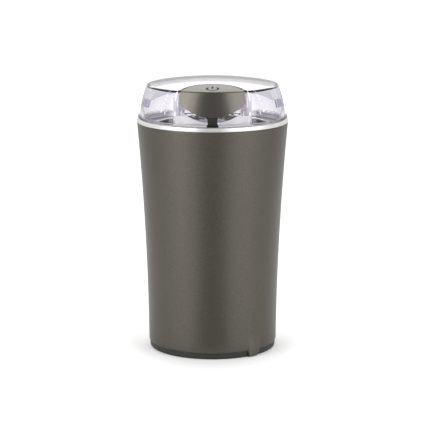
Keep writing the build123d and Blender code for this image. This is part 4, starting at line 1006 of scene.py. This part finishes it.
    @staticmethod
    def ramp(shader: Shader, shift: tuple, reach: tuple, values: tuple) -> bpy.types.Node:
        """A value that rises with the distance from a point on the floor.

        Args:
            shader: Material that it is made in.
            shift: Moves the point that the distance is taken from.
            reach: Distances where the rise begins and ends.
            values: Values where it begins and ends.

        Returns:
            The node with the value.
        """
        moved = shader.node("ShaderNodeMapping")
        moved.inputs["Location"].default_value = shift
        shader.link(shader.coordinates, "Object", moved, "Vector")
        away = shader.node("ShaderNodeVectorMath", operation="LENGTH")
        shader.link(moved, "Vector", away, "Vector")
        rise = shader.node("ShaderNodeMapRange", interpolation_type="SMOOTHSTEP")
        rise.inputs["From Min"].default_value, rise.inputs["From Max"].default_value = reach
        rise.inputs["To Min"].default_value, rise.inputs["To Max"].default_value = values
        shader.link(away, "Value", rise, "Value")
        return rise


# ------------------------------------------------------------ the sub-assemblies
class Paints:
    """Materials made once for each finish."""

    def __init__(self) -> None:
        """Start with no materials."""
        self.made: dict[Finish, bpy.types.Material] = {}

    def of(self, finish: Finish) -> bpy.types.Material:
        """The material of a finish, made when it is first asked for.

        Args:
            finish: The finish.

        Returns:
            Its material.
        """
        if finish not in self.made:
            self.made[finish] = finish.build()
        return self.made[finish]


@dataclass
class Assembly:
    """A sub-assembly that dresses CAD nodes and adds pieces of its own.

    Attributes:
        nodes: The CAD nodes by name.
        paints: The materials made so far.
    """

    nodes: dict[str, bpy.types.Object]
    paints: Paints
    body: ClassVar[Body] = Body.HOUSING
    finishes: ClassVar[dict[Finish, tuple[str, ...]]] = {}
    weld: ClassVar[float] = 0.000002
    smooth_below: ClassVar[float] = 60.0

    def build(self) -> None:
        """Make the sub-assembly's own pieces."""

    def dress_nodes(self) -> None:
        """Give each CAD node of the sub-assembly its finish."""
        for finish, names in self.finishes.items():
            for name in names:
                self.cover(name, finish)

    def cover(self, name: str, finish: Finish) -> None:
        """Give one CAD node a finish.

        Args:
            name: The node's name.
            finish: Its new finish.
        """
        for place in self.nodes[name].material_slots:
            place.material = self.paints.of(finish)
        LOG.info("dressed %s in %s", name, finish.name)

    def place(self, piece: bpy.types.Object, finish: Finish, slot: str, *replaced: str) -> None:
        """Dress a new piece and fix it to its body.

        Args:
            piece: The new piece.
            finish: Its finish.
            slot: Not used.
            replaced: CAD nodes that it stands for.
        """
        dress(piece, self.paints.of(finish))
        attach(piece, self.body.value)
        if replaced:
            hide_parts(*replaced)
        LOG.info("built %s, %d faces", piece.name, len(piece.data.polygons))

    def spring(self, node: str, name: str, travel: float) -> None:
        """Make springs from a welded copy of a node's mesh, in place of the node.

        Args:
            node: CAD node that the new piece stands for.
            name: Name of the new piece.
            travel: Not used.
        """
        source = self.nodes[node]
        data = source.data.copy()
        data.transform(source.matrix_world)
        piece = bpy.data.objects.new(name, data)
        bpy.context.scene.collection.objects.link(piece)
        work = bmesh.new()
        work.from_mesh(data)
        bmesh.ops.remove_doubles(work, verts=work.verts, dist=self.weld)
        work.to_mesh(data)
        work.free()
        soften(piece, self.smooth_below)
        self.place(piece, SPRING_WIRE, "spring_steel", node)
        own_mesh(piece)


@dataclass
class Housing(Assembly):
    """Painted shell, trim ring, base, feet and grommet.

    Attributes:
        base_r: Outer radius at the skirt's lower edge.
        rim_r: Outer radius under the trim ring.
        skirt_z: Height of the skirt's lower edge.
        rim_z: Height of the shell's top.
        bow: How far the side bows in from a straight line.
        wall: Thickness of the shell.
        skirt_round: Rounding of the skirt's outer edge.
        lug_turn: Degrees from the front to the lug, towards the right.
        lug_half: Half the lug's width.
        lug_reach: How far the lug's foot stands out from the skirt.
        lug_top: Height where the lug has run into the side.
        lug_low: Height of the lug's underside.
        lug_fade: Where it runs into the skirt: beyond its left and right side, and
            how far inside its right side that begins.
        edge_round: Rounding of the skirt's inner edge.
        lip: Height and width of the bevel at the shell's top.
        cord_z: Height of the cord's hole.
        cord_r: Radius of the cord's hole.
        cord_y: Where the hole begins, inside the shell.
        ring_height: Height of the trim ring.
        ring_width: Width of the trim ring.
        ring_leg: Depth of its inner leg, and the leg's distance from the shell.
        crease_share: Height of the ring's crease, as a share of its own.
        crease: Inset and height of each point of the crease.
        ring_lean: Inset of its upper edge.
        ring_rounds: Rounding of each corner of its section.
        band_r: Outer radius of the base's dark rim.
        band_low: Height of its lower edge.
        band_lap: How far it reaches up behind the skirt.
        band_width: Its width.
        band_flare: How much wider it is at its upper edge.
        band_rounds: Rounding of its lower corners.
        steps: Divisions of the shell's full turn.
        trim_steps: Divisions of the ring's and the rim's full turn.
    """

    base_r: float = 40.55
    rim_r: float = 47.5
    skirt_z: float = 3.4
    rim_z: float = 144.3
    bow: float = 1.33
    wall: float = 2.2
    skirt_round: float = 1.6
    lug_turn: float = 39.0
    lug_half: float = 3.6
    lug_reach: float = 1.3
    lug_top: float = 14.0
    lug_low: float = 0.15
    lug_fade: tuple = (0.5, 2.2, 0.8)
    edge_round: float = 0.4
    lip: float = 0.35
    cord_z: float = 13.0
    cord_r: float = 4.62
    cord_y: float = 20.0
    ring_height: float = 2.8
    ring_width: float = 3.1
    ring_leg: tuple = (0.8, 0.2)
    crease_share: float = 0.62
    crease: tuple = ((0.0, 0.0), (0.14, 0.1), (0.06, 0.24))
    ring_lean: float = 0.1
    ring_rounds: tuple = (0.75, 0.08, 0.06, 0.08, 0.75, 0.25)
    band_r: float = 39.9
    band_low: float = 0.1
    band_lap: float = 0.3
    band_width: float = 1.6
    band_flare: float = 0.2
    band_rounds: tuple = (0.3, 0.9)
    steps: int = 360
    trim_steps: int = 240
    finishes: ClassVar[dict[Finish, tuple[str, ...]]] = {
        DARK_BASE: ("base_plate",), RUBBER: ("rubber_feet", "cord_gland"),
        PLATED: ("base_screws",)}

    def build(self) -> None:
        """Make the painted shell, the trim ring and the base's rim."""
        self.place(self.shell(), PAINT, "housing_paint", "housing_shell")
        self.place(self.ring(), TRIM, "ring_metal", "trim_ring")
        self.place(self.band(), DARK_BASE, "black_plastic")

    def shell(self) -> bpy.types.Object:
        """The flared shell with its lug and the cord's hole.

        Returns:
            The new piece.
        """
        top, low = self.rim_z, self.skirt_z
        corners = [(self.base_r - self.wall, low), (self.base_r, low), (self.rim_r, top),
                   (self.rim_r - self.wall, top)]
        foot = rounded(corners, {0: self.edge_round, 1: self.skirt_round}, steps=8)[:-2]
        side = arc(foot[-1], (self.rim_r, top - self.lip), sag=-self.bow, steps=36)
        lip = [(self.rim_r - self.lip, top), (self.rim_r - self.wall, top)]
        inside = arc(lip[-1], foot[0], sag=self.bow, steps=12)[:-1]
        piece = Piece("painted_shell").turn(foot + side + lip + inside, steps=self.steps)
        self.draw_lug(piece)
        made = piece.finish()
        hole = Piece("cord_hole").roller(self.cord_r, self.cord_y, BEYOND, 0.0, self.cord_z)
        combine(made, hole.finish(), Work.CUT)
        soften(made, SHEET_CREASE)
        return made

    def draw_lug(self, piece: Piece) -> None:
        """Pull the skirt out and down into the lug at the front right.

        Args:
            piece: The shell, still in millimetres.
        """
        middle = math.radians(self.lug_turn - 90)
        left, right, inside = self.lug_fade
        for vert in piece.mesh.verts:
            across = math.atan2(vert.co.y, vert.co.x) - middle
            across = math.remainder(across, math.tau) * self.base_r
            near = (smooth_step(-self.lug_half - left, -self.lug_half, across)
                    * smooth_step(self.lug_half + right, self.lug_half - inside, across))
            radius = math.hypot(vert.co.x, vert.co.y)
            if near <= 0 or radius < self.base_r - self.wall - 1 or vert.co.z > self.lug_top:
                continue
            up = smooth_step(self.lug_top, self.skirt_z, vert.co.z)
            outer = smooth_step(self.base_r - self.wall, self.base_r - self.edge_round, radius)
            grow = 1 + near * up * outer * self.lug_reach / radius
            vert.co.x *= grow
            vert.co.y *= grow
            vert.co.z -= near * up * (self.skirt_z - self.lug_low)

    def ring(self) -> bpy.types.Object:
        """The bright ring, round outside with a fine crease above its middle.

        Returns:
            The new piece.
        """
        low, high = self.rim_z, self.rim_z + self.ring_height
        outer, inner = self.rim_r, self.rim_r - self.ring_width
        leg, play = self.ring_leg
        seat_r = outer - self.wall - play
        start = low + self.crease_share * self.ring_height
        corners = [(inner, low - leg), (seat_r, low - leg), (seat_r, low), (outer, low)]
        corners += [(outer - inset, start + rise) for inset, rise in self.crease]
        corners += [(outer - self.ring_lean, high), (inner, high)]
        profile = rounded(corners, dict(enumerate(self.ring_rounds, 3)), steps=6)
        made = Piece("bright_ring").turn(profile, steps=self.trim_steps).finish()
        soften(made, TRIM_CREASE)
        return made

    def band(self) -> bpy.types.Object:
        """The dark rim of the base that shows under the skirt.

        Returns:
            The new piece.
        """
        low, high = self.band_low, self.skirt_z + self.band_lap
        outer, inner = self.band_r, self.band_r - self.band_width
        corners = [(inner, low), (outer, low), (outer + self.band_flare, high), (inner, high)]
        profile = rounded(corners, dict(enumerate(self.band_rounds)), steps=6)
        made = Piece("base_band").turn(profile, steps=self.trim_steps).finish()
        soften(made, TRIM_CREASE)
        return made


@dataclass
class BowlGroup(Assembly):
    """Steel bowl with its carrier, gasket, nut and seal.

    Attributes:
        bowl_r: Inner radius of the bowl.
        flange_r: Radius of its rolled flange.
        hole_r: Radius of the hole in its floor.
        floor_z: Height of its floor.
        flange_z: Height of the flange's underside.
        sheet: Thickness of the steel.
        corner: Inner radius between the floor and the wall.
        flange_rounds: Rounding of each corner of the flange's section.
    """

    bowl_r: float = 33.5
    flange_r: float = 36.8
    hole_r: float = 5.22
    floor_z: float = 96.6
    flange_z: float = 143.42
    sheet: float = 0.8
    corner: float = 6.0
    flange_rounds: tuple = (0.3, 0.25, 0.4, 0.6)
    finishes: ClassVar[dict[Finish, tuple[str, ...]]] = {
        DECK: ("bowl_carrier",), BLACK: ("bowl_nut",), RUBBER: ("bowl_gasket", "shaft_seal")}

    def build(self) -> None:
        """Make the drawn steel bowl."""
        self.place(self.bowl(), BOWL_STEEL, "bowl_steel", "grinding_bowl")

    def bowl(self) -> bpy.types.Object:
        """The bowl with its rounded floor and rolled flange.

        Returns:
            The new piece.
        """
        outer, under, top = self.bowl_r + self.sheet, self.floor_z - self.sheet, self.flange_z
        corners = [(self.hole_r, under), (outer, under), (outer, top), (self.flange_r, top),
                   (self.flange_r, top + self.sheet), (self.bowl_r, top + self.sheet),
                   (self.bowl_r, self.floor_z), (self.hole_r, self.floor_z)]
        rounds = (self.corner + self.sheet, *self.flange_rounds, self.corner)
        profile = rounded(corners, dict(enumerate(rounds, 1)), steps=12)
        made = Piece("drawn_bowl").turn(profile, steps=COLUMN_STEPS).finish()
        soften(made, SHEET_CREASE)
        return made


@dataclass(frozen=True)
class DomeForm:
    """The turned outer form that the lid and the button share.

    Attributes:
        base_r: Radius at the foot of the wall.
        edge_r: Radius of the dome's edge.
        wall_z: Height of the wall's foot.
        edge_z: Height of the dome's edge.
        apex_z: Height of the dome's middle.
        wall_bow: How far the wall bows out.
        edge_round: Rounding of the dome's edge.
        least_round: Rounding that an inset form keeps.
        clear: Share of the rounding that is kept free of other points.
    """

    base_r: float = 45.75
    edge_r: float = 41.0
    wall_z: float = 148.6
    edge_z: float = 168.2
    apex_z: float = 171.9
    wall_bow: float = 0.8
    edge_round: float = 1.6
    least_round: float = 0.5
    clear: float = 0.75

    def profile(self, inset: float, wall_steps: int = 20, crown_steps: int = 36) -> Profile:
        """The form's outline from the foot of the wall to the axis.

        Args:
            inset: How far it lies inside the outer form.
            wall_steps: Points on the wall.
            crown_steps: Points on the crown.

        Returns:
            Points of radius and height.
        """
        edge = Vector((self.edge_r - inset, self.edge_z - inset))
        apex = (0.0, self.apex_z - inset)
        rise = apex[1] - edge.y
        crown_r = (edge.x ** 2 + rise ** 2) / (2 * rise)
        crown_bow = crown_r - math.sqrt(crown_r ** 2 - (edge.x ** 2 + rise ** 2) / 4)
        foot = (self.base_r - inset, self.wall_z)
        wall = [foot] + arc(foot, tuple(edge), self.wall_bow, wall_steps)
        crown = arc(tuple(edge), apex, crown_bow, crown_steps)
        radius = max(self.edge_round - inset, self.least_round)
        wall, crown = ([p for p in line if (Vector(p) - edge).length > radius * self.clear]
                       for line in (wall, crown))
        turn = rounded([wall[-1], tuple(edge), crown[0]], {1: radius}, steps=8)
        return wall + turn[1:-1] + crown[:-1] + [apex]

    def solid(self, name: str, inset: float, low: float, steps: int) -> Piece:
        """The form as a closed solid down to a height.

        Args:
            name: Name of the piece.
            inset: How far it lies inside the outer form.
            low: Height of its foot.
            steps: Divisions of the full turn.

        Returns:
            The new piece.
        """
        outline = [(0.0, low), (self.base_r - inset, low)] + self.profile(inset)
        return Piece(name).turn(outline, closed=False, steps=steps)


@dataclass
class Lid(Assembly):
    """Clear lid with its flange, plug, button pocket and slotted floor.

    Attributes:
        form: Its outer form.
        wall: Thickness of its wall.
        flange_r: Radius of the flange.
        flange_z: Height of the flange's underside.
        plug_r: Outer radius of the skirt inside the trim ring.
        plug_wall: Thickness of that skirt.
        plug_low: Height of that skirt's lower edge.
        button_y: Centre of the button's and pocket's columns.
        pocket_r: Inner radius of the pocket.
        pocket_wall: Thickness of the pocket's wall.
        post_x: Half the width between the upright posts beside the button.
        post_end: Where the posts end at the rear.
        milky_y: Where the floor's rippled finish ends.
        floor_z: Top of the pocket's floor.
        floor: Thickness of that floor.
        smile_z: Height of the smile-shaped cut's centre.
        smile_r: Radius of the cut in the lid.
        slot_width: Width of the stem's slot.
        slot_end: Where the slot ends at the rear.
        slot_top: Height of the slot's top.
        step: Height of the step between the plug and the wall's inside.
        plug_rounds: Rounding of the corners of the plug's and flange's section.
        pocket_rounds: Rounding of the pocket's floor, below and inside.
        post_width: Width of the posts.
        lap: How far joined pieces reach into each other.
        cheek: Thickness of the cheeks beside the slot.
        cheek_y: Front and rear of the cheeks.
        cheek_top: Height of the cheeks' tops.
        cheek_bevel: Bevel of their edges.
        pad_turn: Degrees from the front to the side pads, the tinted sheets that paint dark
            reflections on the lid's sides.
        pad_width: Width of a side pad.
        pad_z: Lowest and highest place of the pads.
        pad_thick: Thickness of the pads.
        travel: How far the button goes down.
        frost_x: How far from the middle the posts' rear is frosted.
        near: How close to a form a face counts as part of it.
        square: Least share of a normal that points along an axis.
        aslant: Greatest share of one that doesn't.
    """

    form: DomeForm = DomeForm()
    wall: float = 2.0
    flange_r: float = 47.0
    flange_z: float = 147.4
    plug_r: float = 44.1
    plug_wall: float = 1.6
    plug_low: float = 144.0
    button_y: float = -42.9
    pocket_r: float = 21.4
    pocket_wall: float = 2.0
    post_x: float = 21.0
    post_end: float = -32.0
    milky_y: float = -39.0
    floor_z: float = 149.0
    floor: float = 1.4
    smile_z: float = 181.8
    smile_r: float = 31.8
    slot_width: float = 7.3
    slot_end: float = -37.3
    slot_top: float = 153.0
    step: float = 0.4
    plug_rounds: ClassVar[dict[int, float]] = {1: 0.2, 3: 0.3, 4: 0.4, 6: 0.4, 7: 0.4}
    pocket_rounds: ClassVar[dict[int, float]] = {1: 0.6, 4: 0.8}
    post_width: float = 5.5
    lap: float = 0.2
    cheek: float = 1.2
    cheek_y: tuple = (-41.4, -38.2)
    cheek_top: float = 152.4
    cheek_bevel: float = 0.25
    pad_turn: float = 74.0
    pad_width: float = 9.0
    pad_z: tuple = (155.0, 160.0)
    pad_thick: float = 1.1
    travel: float = 3.0
    frost_x: float = 18.0
    near: float = 0.1
    square: float = 0.95
    aslant: float = 0.3
    body: ClassVar[Body] = Body.LID
    finishes: ClassVar[dict[Finish, tuple[str, ...]]] = {
        CLEAR: ("lid_shell",), SPRING_WIRE: ("button_springs",)}

    def build(self) -> None:
        """Make the clear lid, and the tinted pads inside its walls that paint dark reflections on
        its sides.
        """
        lid = self.shell()
        self.place(lid, CLEAR, "clear_plastic", "lid_shell")
        self.ripple_pocket(lid)
        # The tinted pads paint dark reflections on the lid's sides.
        for side, name in ((-1, "left_reflection_pad"), (1, "right_reflection_pad")):
            self.place(self.pad(side, name), REFLECTION_PAD_CLEAR, "clear_plastic")
        self.spring("button_springs", "return_springs", self.travel)

    def shell(self) -> bpy.types.Object:
        """The lid in one piece.

        Returns:
            The new piece.
        """
        piece = Piece("clear_lid").turn(self.outline(), closed=False, steps=SMOOTH_STEPS)
        made = piece.finish()
        soften(made, LID_CREASE)
        combine(made, self.pocket(), Work.JOIN)
        combine(made, self.opening(), Work.CUT)
        half = self.slot_width / 2
        for side in (-1, 1):
            ends = sorted((side * half, side * (half + self.cheek)))
            cheek = Piece("cheek").block((ends[0], self.cheek_y[0], self.floor_z - self.lap),
                                         (ends[1], self.cheek_y[1], self.cheek_top),
                                         self.cheek_bevel)
            combine(made, cheek.finish(), Work.JOIN)
        slot = Piece("slot").block((-half, -BEYOND, self.plug_low - 1),
                                   (half, self.slot_end, self.slot_top))
        combine(made, slot.finish(), Work.CUT)
        soften(made, LID_CREASE)
        return made

    def outline(self) -> Profile:
        """The lid's wall in section, from its inner middle round to its outer middle.

        Returns:
            Points of radius and height.
        """
        inner = self.form.profile(self.wall)[::-1]
        plug_in, step = self.plug_r - self.plug_wall, self.flange_z + self.step
        foot = [(self.form.base_r - self.wall, step), (plug_in, step), (plug_in, self.plug_low),
                (self.plug_r, self.plug_low), (self.plug_r, self.flange_z),
                (self.flange_r, self.flange_z), (self.flange_r, self.form.wall_z)]
        outer = self.form.profile(0.0)
        foot = rounded([inner[-1]] + foot + [outer[0]], self.plug_rounds)
        return inner[:-1] + foot + outer[1:]

    def pocket(self) -> bpy.types.Object:
        """The pocket's wall and floor, trimmed to the inside of the lid.

        Returns:
            The new piece.
        """
        centre = (0.0, self.button_y)
        low, high = self.floor_z - self.floor, self.form.apex_z + 1
        outside = self.pocket_r + self.pocket_wall
        outline = [(0.0, low), (outside, low), (outside, high), (self.pocket_r, high),
                   (self.pocket_r, self.floor_z), (0.0, self.floor_z)]
        outline = rounded(outline, self.pocket_rounds)
        piece = Piece("pocket").turn(outline, closed=False, steps=COLUMN_STEPS, centre=centre)
        made = piece.finish()
        for side in (-1, 1):
            ends = sorted((side * (outside - self.post_width), side * outside))
            post = Piece("post").block((ends[0], -BEYOND, low), (ends[1], self.post_end, high))
            combine(made, post.finish(), Work.JOIN)
        room = self.form.solid("room", self.wall - self.lap, low - self.lap, SMOOTH_STEPS)
        combine(made, room.finish(), Work.KEEP)
        return made

    def opening(self) -> bpy.types.Object:
        """All that is cut away above the smile-shaped edge.

        Returns:
            The new piece.
        """
        made = Piece("opening").column(self.pocket_r, self.form.wall_z, self.form.apex_z + 5,
                                       (0.0, self.button_y), COLUMN_STEPS).finish()
        front = Piece("front").block((-self.post_x, -BEYOND, self.floor_z + self.lap / 2),
                                     (self.post_x, self.post_end - 2, self.form.apex_z + 4))
        combine(made, front.finish(), Work.JOIN)
        arch = Piece("arch").roller(self.smile_r, -BEYOND, BEYOND, 0.0, self.smile_z, ARCH_STEPS)
        combine(made, arch.finish(), Work.KEEP)
        return made

    def ripple_pocket(self, lid: bpy.types.Object) -> None:
        """Give the pocket's floor, the smile-shaped edge and the posts their own finishes, with
        painted shade on the cut edge and painted glow on the frosted posts.

        Args:
            lid: The lid, dressed in the clear finish.
        """
        for finish in (POCKET_CLEAR, SHADED_CUT_CLEAR, POST_FROST_GLOW):
            lid.data.materials.append(self.paints.of(finish))
        clear, rippled, cut_edge, frosted = range(len(lid.data.materials))
        outside = self.pocket_r + self.pocket_wall
        for face in lid.data.polygons:
            x, y, z = (part / MM for part in face.center)
            away = math.hypot(x, y - self.button_y)
            if away < outside + self.near and z < self.cheek_top + 1:
                face.material_index = rippled if y < self.milky_y else clear
            # The posts' sides get the frosted finish with its painted glow.
            upright = abs(face.normal.x) > self.square and y < self.post_end - 1
            if upright and abs(x) > self.post_x - self.near and z > self.form.wall_z:
                face.material_index = frosted
            # The rear faces beside the posts get the same painted glow.
            rear = abs(away - outside) < 2 * self.near or abs(y - self.post_end) < self.near
            if rear and abs(x) > self.frost_x and z > self.cheek_top + 1:
                face.material_index = frosted
            # The smile-shaped cut edge gets a dark tint: painted shade along the edge.
            cut = abs(math.hypot(x, z - self.smile_z) - self.smile_r) < self.near
            if cut and abs(face.normal.y) < self.aslant and y < self.slot_end:
                face.material_index = cut_edge

    def pad(self, side: int, name: str) -> bpy.types.Object:
        """A thick tinted pad that follows the inside of a side wall, and paints a dark reflection
        there.

        Args:
            side: -1 for the left and 1 for the right.
            name: Name of the piece.

        Returns:
            The new piece.
        """
        piece = Piece(name)
        low, high = self.pad_z
        outer, inner = ([p for p in self.form.profile(inset, wall_steps=60) if low <= p[1] <= high]
                        for inset in (self.wall - self.near, self.wall + self.pad_thick))
        verts = [piece.mesh.verts.new((r, 0.0, z)) for r, z in outer + inner[::-1]]
        face = piece.mesh.faces.new(verts)
        sweep = self.pad_width / (self.form.base_r - self.wall)
        middle = math.radians(side * self.pad_turn - 90)
        bmesh.ops.rotate(piece.mesh, verts=verts, cent=(0, 0, 0),
                         matrix=Matrix.Rotation(middle - sweep / 2, 3, "Z"))
        bmesh.ops.spin(piece.mesh, geom=[face, *face.edges, *face.verts], cent=(0, 0, 0),
                       axis=(0, 0, 1), angle=sweep, steps=12, use_duplicate=False)
        bmesh.ops.recalc_face_normals(piece.mesh, faces=piece.mesh.faces)
        made = piece.finish()
        soften(made, TRIM_CREASE)
        return made


@dataclass
class Button(Assembly):
    """Painted cap and its black carrier.

    Attributes:
        form: The lid's outer form, with a crisper edge.
        radius: Radius of the column that the cap is cut from.
        centre_y: Centre of that column.
        wall: Thickness of the cap's side.
        top_wall: Thickness of its top.
        smile_z: Height of the lower edge's centre.
        smile_r: Radius of the lower edge.
        symbol_y: Middle of the on/off sign.
        symbol_r: Outer radius of the sign.
        symbol_line: Width of the sign's line.
        symbol_depth: Depth of the sign.
        symbol_open: Degrees left open in the sign's ring.
        stroke_y: Where the upright stroke begins and how far it passes the ring.
    """

    form: DomeForm = DomeForm(edge_round=1.2)
    radius: float = 20.6
    centre_y: float = -42.9
    wall: float = 1.8
    top_wall: float = 2.2
    smile_z: float = 181.8
    smile_r: float = 28.8
    symbol_y: float = -33.6
    symbol_r: float = 4.0
    symbol_line: float = 1.0
    symbol_depth: float = 0.4
    symbol_open: float = 70.0
    stroke_y: tuple = (0.4, 0.8)
    body: ClassVar[Body] = Body.BUTTON
    finishes: ClassVar[dict[Finish, tuple[str, ...]]] = {
        CAP_PAINT: ("button_cap",), BLACK: ("button_carrier",)}

    def build(self) -> None:
        """Make the painted cap."""
        self.place(self.cap(), CAP_PAINT, "housing_paint", "button_cap")

    def column(self, name: str, inset: float) -> bpy.types.Object:
        """The button's column, inset by a wall.

        Args:
            name: Name of the piece.
            inset: Thickness of the wall.

        Returns:
            The new piece.
        """
        piece = Piece(name).column(self.radius - inset, self.form.wall_z - 1, self.form.apex_z + 1,
                                   (0.0, self.centre_y), COLUMN_STEPS)
        return piece.finish()

    def cap(self) -> bpy.types.Object:
        """The cap, whose top and front carry on the lid's surfaces.

        Returns:
            The new piece.
        """
        made = self.column("painted_cap", 0.0)
        form = self.form.solid("cap_form", 0.0, self.form.wall_z - 2, SMOOTH_STEPS)
        combine(made, form.finish(), Work.KEEP)
        arch = Piece("cap_arch")
        arch.roller(self.smile_r, -BEYOND, BEYOND, 0.0, self.smile_z, ARCH_STEPS)
        combine(made, arch.finish(), Work.KEEP)
        hollow = self.column("hollow", self.wall)
        room = self.form.solid("cap_room", self.top_wall, self.form.wall_z - 3, ROUND_STEPS)
        combine(hollow, room.finish(), Work.KEEP)
        combine(made, hollow, Work.CUT)
        combine(made, self.symbol(), Work.CUT)
        soften(made, LID_CREASE)
        return made

    def symbol(self) -> bpy.types.Object:
        """The on/off sign as a solid that ends at the depth of its groove.

        Returns:
            The new piece.
        """
        low, high, centre = self.form.edge_z - 4, self.form.apex_z + 4, (0.0, self.symbol_y)
        inner_r = self.symbol_r - self.symbol_line
        outline = [(inner_r, low), (self.symbol_r, low), (self.symbol_r, high), (inner_r, high)]
        made = Piece("sign").turn(outline, steps=72, centre=centre).finish()
        half = self.symbol_r * math.sin(math.radians(self.symbol_open / 2))
        gap = Piece("gap").block((-half, self.symbol_y, low - 1),
                                 (half, self.symbol_y + self.symbol_r + 1, high + 1))
        combine(made, gap.finish(), Work.CUT)
        line, (start, past) = self.symbol_line / 2, self.stroke_y
        stroke = Piece("stroke").block((-line, self.symbol_y + start, low),
                                       (line, self.symbol_y + self.symbol_r + past, high))
        combine(made, stroke.finish(), Work.JOIN)
        below = self.form.solid("below", self.symbol_depth, low - 2, ROUND_STEPS)
        combine(made, below.finish(), Work.CUT)
        return made


@dataclass
class Wound(Assembly):
    """A sub-assembly with a core of stacked sheets and coils of wire.

    Attributes:
        sheet: Thickness of a sheet of the core.
        wire: Pitch of the coils' wire.
    """

    sheet: float = 0.6
    wire: float = 0.7
    core: ClassVar[str]
    coils: ClassVar[str]

    def dress_nodes(self) -> None:
        """Dress the plain nodes, then the core and the coils in layers of their own pitch."""
        super().dress_nodes()
        self.cover(self.core, replace(LAMINATION, pitch=self.sheet * MM))
        self.cover(self.coils, replace(WINDING, pitch=self.wire * MM))


@dataclass
class Rotor(Wound):
    """Everything that turns: blade, shaft, armature and fan."""

    core: ClassVar[str] = "armature_core"
    coils: ClassVar[str] = "armature_windings"
    body: ClassVar[Body] = Body.ROTOR
    finishes: ClassVar[dict[Finish, tuple[str, ...]]] = {
        BLADE_STEEL: ("blade", "blade_nut", "blade_spacer"),
        PLATED: ("motor_shaft", "thrust_washers"),
        COPPER: ("commutator",), BLACK: ("cooling_fan",)}


@dataclass
class Motor(Wound):
    """Stator, brackets, bearings and brush gear."""

    core: ClassVar[str] = "stator_core"
    coils: ClassVar[str] = "field_coils"
    finishes: ClassVar[dict[Finish, tuple[str, ...]]] = {
        PLATED: ("upper_bracket", "lower_bracket", "motor_bolts", "bracket_spacers",
                 "mount_screws"),
        BRONZE: ("upper_bearing", "lower_bearing"), RUBBER: ("mount_bushes",),
        BRASS: ("brush_holders",), CARBON: ("carbon_brushes",),
        SPRING_WIRE: ("brush_springs",)}


@dataclass
class Switchgear(Assembly):
    """Plunger, micro switch, wiring and the small electrical parts.

    Attributes:
        travel: How far the plunger goes down.
    """

    travel: float = 3.0
    finishes: ClassVar[dict[Finish, tuple[str, ...]]] = {
        BLACK: ("switch_plunger",), SPRING_WIRE: ("plunger_spring",),
        PLATED: ("switch_bracket", "switch_lever", "switch_screws", "terminal_screws"),
        SWITCH: ("switch_case",), RED_PIN: ("switch_pin",), BRASS: ("contact_tabs",),
        IVORY: ("terminal_block",), BROWN_WIRE: ("supply_wires", "switch_wire"),
        BLUE_WIRE: ("fuse_wire", "motor_wire"), FUSE_CAN: ("thermal_fuse",),
        YELLOW_BOX: ("suppression_capacitor",)}

    def build(self) -> None:
        """Make the plunger's spring."""
        self.spring("plunger_spring", "plunger_coil", self.travel)


def main() -> None:
    """Load the frame and build every sub-assembly around it."""
    logging.basicConfig(level=logging.INFO, format="%(name)s: %(message)s")
    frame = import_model()
    Studio().build()
    paints = Paints()
    for kind in (Housing, BowlGroup, Lid, Button, Rotor, Motor, Switchgear):
        part = kind(frame["nodes"], paints)
        part.dress_nodes()
        part.build()


if __name__ == "__main__":
    main()
